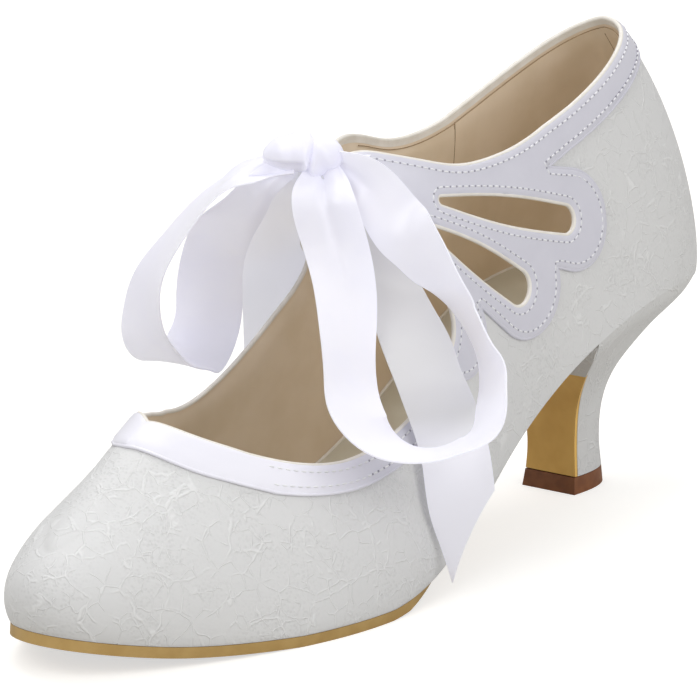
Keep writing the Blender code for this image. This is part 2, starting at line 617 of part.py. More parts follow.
def knot_rings():
    """Round knot, turned to face along the strap."""
    angles = np.radians(np.linspace(0, 360, KNOT_AROUND, endpoint=False))
    turn = np.radians(KNOT_TURN)
    rings = []
    for level in np.linspace(-KNOT_END, KNOT_END, KNOT_LEVELS):
        size = np.sqrt(1 - level ** 2)
        along = np.full_like(angles, level * KNOT_HALF[0])
        out = size * KNOT_HALF[1] * np.cos(angles)
        up = size * KNOT_HALF[2] * np.sin(angles)
        x = KNOT_CENTRE[0] + along * np.cos(turn) + out * np.sin(turn)
        t = KNOT_CENTRE[1] - along * np.sin(turn) + out * np.cos(turn)
        rings.append(np.stack([x, t, KNOT_CENTRE[2] + up], -1))
    return rings


def bar_sheet():
    """Ribbon across the ridge from strap to strap, its ends swept forwards with the straps."""
    near_girths = np.linspace(BAR_GIRTH, 1, BAR_STEPS)
    girths = np.concatenate([near_girths, near_girths[-2::-1]])
    sides = np.repeat([1, -1], [BAR_STEPS, BAR_STEPS - 1])
    sweep = BAR_SWEEP * (1 - girths) / (1 - BAR_GIRTH)
    low = []
    high = []
    triangles = []
    for i, place in enumerate(np.linspace(*BAR_STATIONS, BAR_STEPS - 1)):
        for j, girth in enumerate(girths):
            turn = turn_at((place + sweep[j]) / LENGTH)
            low.append(shell(turn, sides[j], girth, BAR_LIFT))
            high.append(shell(turn, sides[j], girth, BAR_LIFT + RIBBON_THICK))
            if i and j:
                here = i * len(girths) + j
                back = here - len(girths)
                triangles += [(back - 1, back, here), (back - 1, here, here - 1)]
    return thick_sheet(np.array(high), np.array(low), np.array(triangles))


def clear_scene():
    for old in list(bpy.data.objects):
        bpy.data.objects.remove(old, do_unlink=True)


def add_upper():
    """Upper and satin trim from one pattern."""
    places, sides, triangles, trims = both_panels()
    outside = lasted(places, sides, 0.0)
    lining = lasted(places, sides, -WALL)
    trim_face = lasted(places, sides, TRIM_TOP)
    trim_back = lasted(places, sides, TRIM_LIFT)
    add_part("upper", *thick_sheet(outside, lining, triangles), LACE_WHITE, MATT)
    add_part("satin_trim", *thick_sheet(trim_face, trim_back, triangles[trims]), SATIN_WHITE, GLOSSY)


def add_bottom():
    """Heel, sole with its breast flap, top lift and insole."""
    heel = heel_rings()
    add_part("heel", *loft(heel), LACE_WHITE, SMOOTH)
    add_part("outsole", *loft(outsole_rings(heel)), SOLE_TAN, SMOOTH)
    tip = heel[-1].copy()
    tip_centre = tip.mean(0)
    tip[[0, -1], 1] += GAP + FLAP_THICK
    lift_top = tip.copy()
    lift_top[:, 2] = LIFT_HEIGHT
    lift_low = tip_centre + (tip - tip_centre) * LIFT_FLARE
    lift_low[:, 2] = 0
    add_part("top_lift", *loft([lift_top, lift_low]), LIFT_BROWN, SMOOTH)
    insole_turns = np.linspace(*INSOLE_ENDS, INSOLE_SECTIONS)
    insole_low = outline_ring(insole_turns, WALL + GAP + INSOLE_CLEAR, lambda t: seat_height(t) + GAP)
    insole_top = insole_low + np.array([0, 0, INSOLE])
    add_part("insole", *loft([insole_low, insole_top]), INSOLE_TAN, MATT)


def add_bow():
    """Ribbon across the ridge, knot, two loops and two ends."""
    add_part("ribbon_bar", *bar_sheet(), RIBBON_WHITE, GLOSSY)
    add_part("bow_knot", *loft(knot_rings()), RIBBON_WHITE, GLOSSY)
    add_part("bow_loop_near", *loft(ribbon_rings(NEAR_LOOP, LOOP_SECTIONS[0])), RIBBON_WHITE, GLOSSY)
    add_part("bow_loop_far", *loft(ribbon_rings(FAR_LOOP, LOOP_SECTIONS[1])), RIBBON_WHITE, GLOSSY)
    add_part("ribbon_tail_near", *loft(ribbon_rings(NEAR_TAIL, TAIL_SECTIONS)), RIBBON_WHITE, GLOSSY)
    add_part("ribbon_tail_far", *loft(ribbon_rings(FAR_TAIL, TAIL_SECTIONS)), RIBBON_WHITE, GLOSSY)


clear_scene()
add_upper()
add_bottom()
add_bow()
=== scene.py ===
"""Looks of the lace wedding pump: corded lace, satin trim, ribbon bow, lining, sole and covered heel.

Shapes are worked out in millimetres: x sideways, plus towards the wearer's left, t from heel back to toe,
z up. The frame is in metres.
"""
import bpy
import numpy as np
from mathutils import Matrix, Vector
from mathutils.geometry import delaunay_2d_cdt


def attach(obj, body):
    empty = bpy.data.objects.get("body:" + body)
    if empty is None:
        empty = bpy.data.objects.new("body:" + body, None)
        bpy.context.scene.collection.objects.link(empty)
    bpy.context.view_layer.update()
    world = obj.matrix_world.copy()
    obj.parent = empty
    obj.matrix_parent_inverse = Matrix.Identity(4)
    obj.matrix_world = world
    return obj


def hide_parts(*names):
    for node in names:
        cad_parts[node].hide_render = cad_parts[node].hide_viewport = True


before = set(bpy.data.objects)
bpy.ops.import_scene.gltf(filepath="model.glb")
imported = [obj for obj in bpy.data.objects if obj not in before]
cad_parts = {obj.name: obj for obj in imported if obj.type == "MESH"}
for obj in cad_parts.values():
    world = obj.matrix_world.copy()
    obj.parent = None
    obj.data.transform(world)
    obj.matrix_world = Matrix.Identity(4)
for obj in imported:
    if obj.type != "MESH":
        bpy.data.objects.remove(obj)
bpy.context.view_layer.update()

# Main sizes, as in the part's source
METRE = 0.001
LENGTH = 240.0
CENTRE_X = 2.16
CENTRE_T = 120.61
WALL = 1.6
GAP = 0.3
SOLE = 2.4
FLAT_SPOT = 0.25
INSOLE = 1.5

# Band of the trim: its width, its end on the ridge, its girth at the back seam, how far its edge is evened,
# the turn where it starts, how far the strap reaches and what the strap leaves of the width
BAND = 8.3
BAND_ON_RIDGE = 12.2
BAND_GIRTH = 0.0505
BAND_REACH = 8
BAND_START = 0.004
STRAP_UNTIL = 140.0
STRAP_SLACK = 1.5
# Share of the collar and start on the throat of the band, girth above which a lobe is trim
COLLAR_PART = 0.70
THROAT_PART = 0.28
LOBE_LOW = 0.2
# Band along the throat: station of the rib foot, width
THROAT_BAND = np.array([(162.0, 6.6), (168.0, 6.8), (175.0, 7.5), (184.0, 8.5)])

# Outline of the last: share of the length, half width near side, half width far side
OUTLINE = np.array([
    (0.040, 14.7, 14.7), (0.120, 22.3, 22.3), (0.250, 25.2, 25.2), (0.400, 25.9, 22.8), (0.530, 33.3, 27.1),
    (0.660, 39.1, 34.6), (0.760, 36.4, 34.5), (0.860, 27.5, 28.7), (0.940, 17.7, 20.0), (0.985, 9.5, 10.5)])
# Underside of the sole: share of the length, height
UNDERSIDE = np.array([
    (0.00, 47.8), (0.15, 49.3), (0.30, 38.2), (0.45, 17.3), (0.58, 3.9), (0.68, 0.0), (0.80, 0.5),
    (0.90, 2.6), (1.00, 7.8)])
# Ridge of the last over the instep: station, height
RIDGE = np.array([
    (15.0, 180.0), (60.0, 151.0), (100.0, 119.5), (131.0, 101.2), (175.0, 66.0), (204.0, 48.0),
    (222.0, 37.1), (233.0, 30.0)])
RIDGE_START = 92.0
RIDGE_END = 232.0
# How a rib rises: share of the length, exponent of its rise near side, far side
RISE = np.array([
    (0.15, 1.57, 1.57), (0.45, 1.42, 1.42), (0.66, 1.65, 1.70), (0.75, 1.75, 2.40), (0.85, 1.47, 2.40),
    (0.93, 1.25, 1.45), (1.00, 1.05, 1.05)])
# How far a rib swells: share of the length, swell
SWELL = np.array([(0.0, 4.0), (0.2, -0.6), (0.5, 2.2), (0.8, 1.6), (1.0, 2.8)])
SWELL_REACH = 1.3
# The middle line bows to the near side at heel and toe
BOW_PLACE = 0.55
BOW_HEEL = 1.4
BOW_TOE = 1.6
BOW_POWER = 1.5

# Edge of the upper, collar: station of the rib foot and girth share on the near side, same on the far side
COLLAR = np.array([
    (0.0, 0.540, 0.0, 0.540), (9.0, 0.537, 9.0, 0.524), (22.0, 0.541, 22.0, 0.524),
    (41.0, 0.544, 41.0, 0.522), (58.0, 0.547, 58.0, 0.530), (70.5, 0.567, 70.0, 0.576),
    (78.7, 0.606, 76.6, 0.659), (83.9, 0.690, 79.3, 0.735), (84.4, 0.790, 79.8, 0.819),
    (80.0, 0.890, 78.0, 0.890), (76.5, 0.950, 75.5, 0.950)])
# Edge of the upper, strap end to the middle of the throat
THROAT = np.array([
    (92.0, 0.950, 92.0, 0.950), (99.0, 0.780, 99.0, 0.780), (105.0, 0.630, 105.0, 0.640),
    (108.5, 0.520, 108.5, 0.550), (108.0, 0.445, 108.0, 0.500), (111.5, 0.400, 111.5, 0.480),
    (119.0, 0.393, 119.0, 0.474), (127.0, 0.400, 127.0, 0.472), (135.5, 0.417, 135.5, 0.470),
    (151.0, 0.459, 151.0, 0.490), (163.0, 0.506, 158.0, 0.530), (172.5, 0.571, 164.5, 0.600),
    (180.5, 0.660, 171.0, 0.675), (186.5, 0.770, 177.0, 0.745), (188.0, 0.880, 182.5, 0.855),
    (186.0, 1.000, 186.0, 1.000)])
# Drop-shaped cut-outs: station and height of round end, its radius, same of narrow end, swell of the sides
DROPS = np.array([
    (71.9, 77.2, 3.9, 112.3, 88.2, 1.4, 1.2), (92.1, 64.2, 4.8, 118.8, 82.8, 1.3, 1.1)])
# Lobes of the trim: station and height of lobe, its radius, same at the strap, swell of the sides
LOBES = np.array([
    (68.5, 76.5, 12.2, 126.0, 92.0, 9.0, 0.0), (89.6, 64.2, 12.8, 126.0, 90.0, 9.0, 0.0),
    (118.0, 58.5, 11.0, 129.0, 88.0, 9.0, 0.0)])

# Covered heel: share of the height down from the seat, share of the way from seat outline to tip outline
HEEL_PROFILE = np.array([
    (0.00, 0.000), (0.09, 0.120), (0.16, 0.270), (0.22, 0.410), (0.30, 0.570), (0.39, 0.730), (0.46, 0.835),
    (0.60, 0.965), (0.74, 1.015), (0.88, 1.020), (1.00, 1.000)])
SEAT_BREAST = 63.0
TIP_BREAST = 47.8
TIP_DEPTH = 16.3
TIP_HALF_WIDTH = 7.9
TIP_MIDDLE = -0.7
LIFT_HEIGHT = 4.3
LIFT_FLARE = 1.06
FLAP_THICK = 1.1
SEAT_LAP = 0.15
SOLE_LAP = 0.22
# The heel's cover laps over the breast above this height, and over the last rows of the waist
BREAST_TOP = 34.0
SEAT_ROWS = 4

# Sole edge: share of the length, thickness, inset of its top, inset of its underside
SOLE_EDGE = np.array([
    (0.27, 1.5, 2.0, 6.0), (0.45, 1.6, 2.0, 6.0), (0.57, 1.9, 1.2, 3.0), (0.64, 2.4, 0.0, 0.3),
    (1.00, 2.4, 0.0, 0.3)])

# Ribbon routes: middle x, t, z, width, direction across the ribbon x, t, z
NEAR_LOOP = np.array([
    (8.0, 138.4, 100.0, 8, 0.56, 0.06, 0.82), (14.5, 137.3, 96.9, 11, 0.62, -0.40, 0.66),
    (20.5, 135.6, 89.0, 14, 0.70, -0.66, 0.26), (26.0, 135.8, 84.3, 15, 0.89, -0.16, 0.42),
    (31.0, 135.4, 79.0, 15, 0.95, 0.03, 0.31), (34.5, 133.2, 73.5, 15, 0.90, 0.30, 0.30),
    (37.0, 130.0, 68.0, 15, 0.85, 0.47, 0.22), (41.5, 130.4, 62.2, 15, 0.80, 0.57, 0.15),
    (46.0, 132.5, 56.0, 15, 0.83, 0.53, 0.12), (51.5, 138.6, 50.2, 15, 0.82, 0.55, 0.10),
    (54.5, 147.0, 43.8, 15, 0.80, 0.58, 0.06), (51.5, 154.0, 41.6, 15, 0.72, 0.68, 0.12),
    (47.5, 161.5, 42.0, 15, 0.64, 0.76, 0.00), (43.0, 166.0, 44.2, 15, 0.36, 0.92, -0.10),
    (37.5, 168.0, 49.0, 15, 0.02, 0.98, -0.10), (31.3, 164.2, 54.5, 15, -0.08, 0.98, 0.05),
    (24.6, 157.5, 64.5, 15, -0.20, 0.96, 0.05), (18.5, 151.1, 75.0, 15, -0.52, 0.84, 0.00),
    (13.2, 147.4, 86.5, 13, -0.76, 0.64, 0.00), (12.6, 145.8, 94.9, 7.5, -0.77, 0.64, 0.02),
    (9.7, 144.4, 99.8, 5, -0.77, 0.64, 0.02)])
NEAR_TAIL = np.array([
    (3.6, 144.4, 96.2, 6, 0.77, -0.64, 0.00), (6.5, 144.0, 92.8, 6, 0.77, -0.64, 0.00),
    (11.6, 138.6, 85.2, 8, 0.72, -0.70, 0.00), (17.6, 136.1, 76.0, 12, 0.66, -0.75, -0.03),
    (24.0, 137.4, 67.6, 15, 0.60, -0.80, -0.05), (31.2, 140.4, 60.4, 17, 0.56, -0.83, -0.05),
    (36.6, 141.7, 51.8, 16, 0.56, -0.83, -0.05), (38.7, 139.9, 44.5, 16, 0.64, -0.77, 0.00),
    (41.5, 139.4, 35.3, 16, 0.77, -0.64, 0.05), (43.5, 140.0, 26.0, 16, 0.77, -0.64, 0.05),
    (45.2, 139.9, 17.0, 15, 0.86, -0.30, 0.12), (47.3, 140.1, 6.0, 14, 0.95, 0.05, 0.15)])
FAR_LOOP = np.array([
    (-8.2, 150.4, 99.4, 8, 0.50, 0.60, -0.50), (-12.5, 155.5, 97.0, 14, 0.66, 0.70, -0.05),
    (-17.5, 159.2, 92.0, 15, 0.68, 0.70, -0.05), (-22.1, 161.7, 86.0, 15, 0.80, 0.60, 0.02),
    (-27.2, 164.3, 78.0, 15, 0.86, 0.48, 0.08), (-31.3, 165.3, 69.0, 15, 0.92, 0.30, 0.10),
    (-33.0, 164.0, 60.0, 15, 0.98, 0.12, 0.12), (-34.5, 159.0, 52.7, 15, 0.96, -0.25, -0.06),
    (-36.0, 151.0, 48.3, 15, 0.88, -0.46, -0.10), (-36.5, 143.5, 49.0, 16, 0.80, -0.60, -0.06),
    (-34.3, 140.9, 55.5, 16, 0.77, -0.64, -0.06), (-31.0, 143.0, 65.0, 16, 0.77, -0.62, -0.14),
    (-26.0, 147.0, 75.0, 15, 0.77, -0.60, -0.20), (-19.5, 149.8, 83.5, 14, 0.77, -0.62, -0.14),
    (-12.2, 150.8, 90.0, 11, 0.77, -0.64, -0.05), (-7.0, 150.6, 95.6, 8, 0.77, -0.64, -0.05)])
FAR_TAIL = np.array([
    (-3.5, 147.0, 96.8, 7, 0.77, -0.64, 0.0), (-7.4, 146.0, 92.5, 9, 0.74, -0.67, 0.0),
    (-17.6, 136.4, 82.6, 11, 0.65, -0.76, 0.0), (-27.5, 125.2, 71.3, 14, 0.52, -0.85, 0.0),
    (-31.6, 118.8, 62.8, 16, 0.70, -0.71, 0.0), (-34.8, 114.8, 54.5, 16, 0.77, -0.64, 0.0),
    (-36.8, 112.4, 46.5, 16, 0.77, -0.64, 0.0), (-37.4, 111.4, 37.0, 16, 0.77, -0.64, 0.0),
    (-37.6, 110.8, 27.0, 16, 0.77, -0.64, 0.0), (-37.6, 110.4, 15.0, 16, 0.77, -0.64, 0.0)])
KNOT_CENTRE = np.array((0.0, 143.5, 102.6))
KNOT_HALF = np.array((9.6, 5.4, 5.5))
KNOT_TURN = 40.0
BAR_STATIONS = (79.5, 89.5)
BAR_SWEEP = 5.0
BAR_GIRTH = 0.84
BAR_LIFT = 1.35

# Cloth and leather layers of the upper, as offsets from the last
LACE_BACK = -0.7
LACE_ROUND = 0.25
LACE_SKIVED = 0.4
LAYER_GAP = 0.03
LINING_BACK = -1.6
TRIM_BACK = 0.05
TRIM_FACE = 0.9
RIBBON_THICK = 0.4
SKIVE = 4.0
EDGE_HALF = 0.55
EDGE_ROUND = 1.1
BINDING = 0.62
FOLD_BEAD = 0.42
FOLD_LIFT = 0.35
BEAD_SIDES = 8

# Sewing
STITCH_INSET = 1.7
STITCH_SPACING = 2.0
STITCH_LENGTH = 1.35
STITCH_RADIUS = 0.22
STITCH_LIFT = 0.02
STITCH_AHEAD = 0.4
STITCH_CLEAR = 0.92
STITCH_TAPER = 0.96
STITCH_RINGS = 5
THREAD_SIDES = 6
NEEDLE_HOLE = 0.28
HOLE_DEPTH = 0.2
HOLE_LIFT = 0.03
# Station where the holes and the stitches on the vamp band stop showing
HOLES_UNTIL = 160.0
STITCHES_UNTIL = 186.0
# Binding turned in at the collar: distances from the edge, its two faces, points left out at the strap
TURNED_IN = (0.1, 0.5, 0.9, 1.3)
TURNED_OVER = 0.12
TURNED_UNDER = 0.15
TURNED_STOP = 4

# Lining seams: distance of the collar row, side seam as station and girth of its top and foot
COLLAR_ROW = 1.75
SIDE_SEAM = (46.4, 0.508, 53.5, 0.370)
BACK_SEAM_TURN = 0.012
BACK_SEAM_SHARES = (0.95, 0.40)
SEAM_POINTS = 24
SEAM_RADIUS = 0.13
SEAM_SINK = -0.05
SEAM_STOP = 24

# How finely the surfaces are cut
TURN_SCALE = 250.0
GIRTH_SCALE = 100.0
PANEL_SCALE = np.array([TURN_SCALE, GIRTH_SCALE])
LATTICE = 2.0
KEEP_OFF = 1.0
ROW_KEEP_OFF = 0.3
RIM_ROWS = (0.6, 1.3)
LOBE_ROWS = (0.4, 1.0)
RIDGE_CUTS = (40, 14)
HEEL_SEAM_CUTS = (9, 50)
EDGE_STEP = 1.0
WELD = 0.0001
BLOCK_ROWS = 400
STEP = 0.01
NUDGE = 0.001
SLOPE_STEP = 0.5
FIRST_GIRTH = 0.4
SEARCH_ROUNDS = 30
SEARCH_LIMITS = (0.01, 0.99)
SHARP_ANGLE = 50.0
# Directions that no seam and no needle hole follows
SLANT = (0.21, 0.35, 0.91)
HOLE_SLANT = (0.3, 0.5, 0.81)


def spline(places, values):
    """Natural cubic spline through the given values."""
    span = np.diff(places)
    count = len(places)
    matrix = np.eye(count)
    right = np.zeros(count)
    for i in range(1, count - 1):
        matrix[i, i - 1:i + 2] = span[i - 1], 2 * (span[i - 1] + span[i]), span[i]
        right[i] = 6 * ((values[i + 1] - values[i]) / span[i] - (values[i] - values[i - 1]) / span[i - 1])
    bend = np.linalg.solve(matrix, right)

    def curve(where):
        where = np.asarray(where, float)
        i = np.clip(np.searchsorted(places, where) - 1, 0, count - 2)
        a = (places[i + 1] - where) / span[i]
        b = 1 - a
        line = a * values[i] + b * values[i + 1]
        return line + ((a ** 3 - a) * bend[i] + (b ** 3 - b) * bend[i + 1]) * span[i] ** 2 / 6

    return curve


def smooth(share):
    """Eased step from 0 to 1."""
    share = np.clip(share, 0, 1)
    return share * share * (3 - 2 * share)


def unit(vectors):
    """The vectors at length one."""
    return vectors / np.linalg.norm(vectors, axis=-1, keepdims=True)


# The last

def turn_at(share):
    """Share of the half turn round the outline at a share of the length."""
    return np.arccos(1 - 2 * np.clip(share, 0, 1)) / np.pi


def station(turn):
    """Place along the length at a turn, the other way round from turn_at."""
    return LENGTH * (1 - np.cos(np.pi * np.asarray(turn, float))) / 2


OUTLINE_TURN = np.concatenate([[0], turn_at(OUTLINE[:, 0]), [1]])
NEAR_HALF = spline(OUTLINE_TURN, np.concatenate([[0], OUTLINE[:, 1], [0]]))
FAR_HALF = spline(OUTLINE_TURN, np.concatenate([[0], OUTLINE[:, 2], [0]]))
UNDER_LINE = spline(UNDERSIDE[:, 0] * LENGTH, UNDERSIDE[:, 1])
RIDGE_LINE = spline(RIDGE[:, 0], RIDGE[:, 1])


def underside(t):
    """Height of the sole's underside, cut flat where it rests."""
    return np.maximum(UNDER_LINE(t) - FLAT_SPOT, 0)


def seat_height(t):
    """Height of the sole's upper side."""
    return underside(t) + SOLE


def middle(t):
    """Sideways place of the middle line: two eased bows, one to the heel and one to the toe."""
    share = np.asarray(t, float) / LENGTH
    heel = np.clip(1 - share / BOW_PLACE, 0, 1) ** BOW_POWER
    toe = np.clip((share - BOW_PLACE) / (1 - BOW_PLACE), 0, 1) ** BOW_POWER
    return BOW_HEEL * heel + BOW_TOE * toe


def plain_feather(turn, side):
    """Plan x and t of the outline: middle line plus the half width of that side."""
    t = station(turn)
    half = np.where(np.asarray(side) > 0, NEAR_HALF(turn), FAR_HALF(turn))
    return middle(t) + side * half, t


def outward(turn, side):
    """Plan direction away from the last, square to the outline."""
    x_after, t_after = plain_feather(np.clip(turn + NUDGE, 0, 1), side)
    x_before, t_before = plain_feather(np.clip(turn - NUDGE, 0, 1), side)
    dx = x_after - x_before
    dt = t_after - t_before
    size = np.hypot(dx, dt)
    return side * dt / size, -side * dx / size


def feather(turn, side, inset):
    """Plan x and t of the outline, moved inwards by the inset."""
    x, t = plain_feather(turn, side)
    across, along = outward(turn, side)
    return x - across * inset, t - along * inset


def rib(turn, side, girth):
    """Point on the last: the rib that starts at the outline and ends on the ridge."""
    x_foot, t_foot = plain_feather(turn, side)
    z_foot = underside(t_foot) + SOLE + GAP
    share = t_foot / LENGTH
    t_top = RIDGE_START + (RIDGE_END - RIDGE_START) * share
    z_top = RIDGE_LINE(t_top)
    slope = (RIDGE_LINE(t_top - SLOPE_STEP) - RIDGE_LINE(t_top + SLOPE_STEP)) / (2 * SLOPE_STEP)
    lean = t_foot - t_top
    angle = girth * np.pi / 2
    inward = 1 - np.cos(angle)
    near_rise = np.interp(share, RISE[:, 0], RISE[:, 1])
    far_rise = np.interp(share, RISE[:, 0], RISE[:, 2])
    rise = np.sin(angle) ** np.where(np.asarray(side) > 0, near_rise, far_rise)
    swell = np.interp(share, SWELL[:, 0], SWELL[:, 1]) * np.sin(np.pi * np.clip(SWELL_REACH * girth, 0, 1))
    across, along = outward(turn, side)
    x = x_foot + (middle(t_top) - x_foot) * inward + across * swell
    t = t_foot - lean * inward + along * swell
    z = z_foot + (z_top - z_foot - slope * lean) * rise + slope * lean * inward
    return np.stack([x, t, z], -1)


def normal_at(turn, side, girth):
    """Outward direction on the last: across the step along a rib and the step to the next rib."""
    along = rib(np.clip(turn + STEP, 0, 1), side, girth) - rib(np.clip(turn - STEP, 0, 1), side, girth)
    up = rib(turn, side, np.clip(girth + STEP, 0, 1)) - rib(turn, side, np.clip(girth - STEP, 0, 1))
    return unit(np.cross(along, up) * side)


def on_last(t_wanted, z_wanted, side):
    """Turn and girth of the points on the last with the wanted t and z, by Newton steps."""
    turn = turn_at(t_wanted / LENGTH)
    girth = np.full_like(turn, FIRST_GIRTH)
    for _ in range(SEARCH_ROUNDS):
        here = rib(turn, side, girth)[:, 1:]
        by_turn = (rib(turn + NUDGE, side, girth)[:, 1:] - here) / NUDGE
        by_girth = (rib(turn, side, girth + NUDGE)[:, 1:] - here) / NUDGE
        off = np.stack([t_wanted, z_wanted], -1) - here
        size = by_turn[:, 0] * by_girth[:, 1] - by_turn[:, 1] * by_girth[:, 0]
        turn_step = (off[:, 0] * by_girth[:, 1] - off[:, 1] * by_girth[:, 0]) / size
        girth_step = (off[:, 1] * by_turn[:, 0] - off[:, 0] * by_turn[:, 1]) / size
        turn = np.clip(turn + turn_step, *SEARCH_LIMITS)
        girth = np.clip(girth + girth_step, *SEARCH_LIMITS)
    return turn, girth


# The pattern, cut flat as turn and girth

def drop_outline(row, grow=0.0):
    """Points round two circles and the swollen lines that touch both."""
    t_round, z_round, round_radius, t_narrow, z_narrow, narrow_radius, swell = row
    length = np.hypot(t_narrow - t_round, z_narrow - z_round)
    aim = np.arctan2(z_narrow - z_round, t_narrow - t_round)
    spread = np.arccos((round_radius - narrow_radius) / length)
    round_radius = round_radius + grow
    narrow_radius = narrow_radius + grow
    big_steps = int(np.ceil(round_radius * 2 * (np.pi - spread) / EDGE_STEP)) + 1
    small_steps = int(np.ceil(narrow_radius * 2 * spread / EDGE_STEP)) + 3
    big = aim + np.linspace(spread, 2 * np.pi - spread, big_steps)
    small = aim + np.linspace(-spread, spread, small_steps)
    line = np.linspace(0, 1, int(length / EDGE_STEP) + 2)[1:-1, None]
    big_arc = row[:2] + round_radius * np.stack([np.cos(big), np.sin(big)], -1)
    small_arc = row[3:5] + narrow_radius * np.stack([np.cos(small), np.sin(small)], -1)
    bow = swell * np.sin(np.pi * line)
    low_side = np.array([np.cos(aim - spread), np.sin(aim - spread)])
    high_side = np.array([np.cos(aim + spread), np.sin(aim + spread)])
    there = big_arc[-1] + (small_arc[0] - big_arc[-1]) * line + bow * low_side
    home = small_arc[-1] + (big_arc[0] - small_arc[-1]) * line + bow * high_side
    return np.concatenate([big_arc, there, small_arc, home])


def on_panel(row, side, grow=0.0):
    """Outline of a drop or a lobe on the panel, as turn and girth."""
    return np.stack(on_last(*drop_outline(row, grow).T, side), -1)


def edge_curve(table, side):
    """Smooth edge through the rows of a table, as turn and girth."""
    columns = table[:, :2] if side > 0 else table[:, 2:]
    turns = turn_at(columns[:, 0] / LENGTH)
    girths = columns[:, 1]
    flat = np.stack([turns * TURN_SCALE, girths * GIRTH_SCALE], -1)
    run = np.concatenate([[0], np.cumsum(np.linalg.norm(np.diff(flat, axis=0), axis=1))])
    where = np.linspace(0, run[-1], int(run[-1] / EDGE_STEP))
    return np.stack([spline(run, turns)(where), spline(run, girths)(where)], -1)


def inside(points, polygon):
    """Whether each point lies in the polygon."""
    crossings = np.zeros(len(points), int)
    for start, end in zip(polygon, np.roll(polygon, -1, axis=0)):
        between = (start[1] > points[:, 1]) != (end[1] > points[:, 1])
        rise = end[1] - start[1] if end[1] != start[1] else 1.0
        crossing = start[0] + (points[:, 1] - start[1]) * (end[0] - start[0]) / rise
        crossings += between & (points[:, 0] < crossing)
    return crossings % 2 == 1


def nearest(points, others):
    """Distance from each point to the closest of the others, in blocks of rows."""
    blocks = np.array_split(points, max(1, len(points) // BLOCK_ROWS))
    distances = [np.linalg.norm(block[:, None] - others[None], axis=-1).min(1) for block in blocks]
    return np.concatenate(distances)


def moved_edge(edge, side, distance):
    """The edge moved across the last, square to its own run."""
    here = rib(edge[:, 0], side, edge[:, 1])
    by_turn = (rib(edge[:, 0] + NUDGE, side, edge[:, 1]) - here) / NUDGE
    by_girth = (here - rib(edge[:, 0], side, edge[:, 1] - NUDGE)) / NUDGE
    run = unit(np.gradient(here, axis=0))
    normal = unit(np.cross(by_turn, by_girth))
    wanted = -np.cross(normal, run) * np.reshape(distance, (-1, 1))
    frames = np.stack([by_turn, by_girth], -1)
    return edge + (np.linalg.pinv(frames) @ wanted[..., None])[..., 0]


def evened(line):
    """Each point as the mean of the points within reach along the line, its ends repeated."""
    padded = np.concatenate([np.repeat(line[:1], BAND_REACH, 0), line, np.repeat(line[-1:], BAND_REACH, 0)])
    window = np.ones(2 * BAND_REACH + 1) / (2 * BAND_REACH + 1)
    return np.stack([np.convolve(padded[:, i], window, "valid") for i in range(2)], -1)


def panel_lines(side):
    """Edges and bands of half the upper: outline, collar and throat, their bands and parts beside them."""
    collar = edge_curve(COLLAR, side)
    throat = edge_curve(THROAT, side)
    band_end = turn_at((THROAT[-1, 0] + BAND_ON_RIDGE) / LENGTH)
    band_low = COLLAR[0, 1] - BAND_GIRTH
    foot = np.linspace(0, 1, int(TURN_SCALE / EDGE_STEP))
    toe = np.linspace(0, 1, int(GIRTH_SCALE / EDGE_STEP / 2))
    ridge = np.concatenate([np.linspace(1, band_end, RIDGE_CUTS[0]),
                            np.linspace(band_end, throat[-1, 0], RIDGE_CUTS[1])[1:]])
    heel = np.concatenate([np.linspace(collar[0, 1], band_low, HEEL_SEAM_CUTS[0]),
                           np.linspace(band_low, 0, HEEL_SEAM_CUTS[1])[1:]])
    foot, toe, ridge, heel = [np.stack(np.broadcast_arrays(*line), -1)
                              for line in ((foot, 0.0), (1.0, toe), (ridge, 1.0), (0.0, heel))]
    outline = np.concatenate([foot, toe[1:], ridge[1:], throat[::-1][1:], collar[::-1], heel[1:-1]])
    collar_part = collar[:int(COLLAR_PART * len(collar))]
    throat_part = throat[int(THROAT_PART * len(throat)):]
    collar_band = moved_edge(collar, side, BAND)[:len(collar_part)]
    collar_band = np.concatenate([[(0, band_low)], collar_band[collar_band[:, 0] > BAND_START]])
    throat_width = np.interp(station(throat[:, 0]), THROAT_BAND[:, 0], THROAT_BAND[:, 1])
    throat_band = throat + evened(moved_edge(throat, side, throat_width) - throat)
    throat_band = throat_band[-len(throat_part):]
    throat_band[-1] = band_end, 1
    return outline, (collar, throat), (collar_band, throat_band), (collar_part, throat_part)


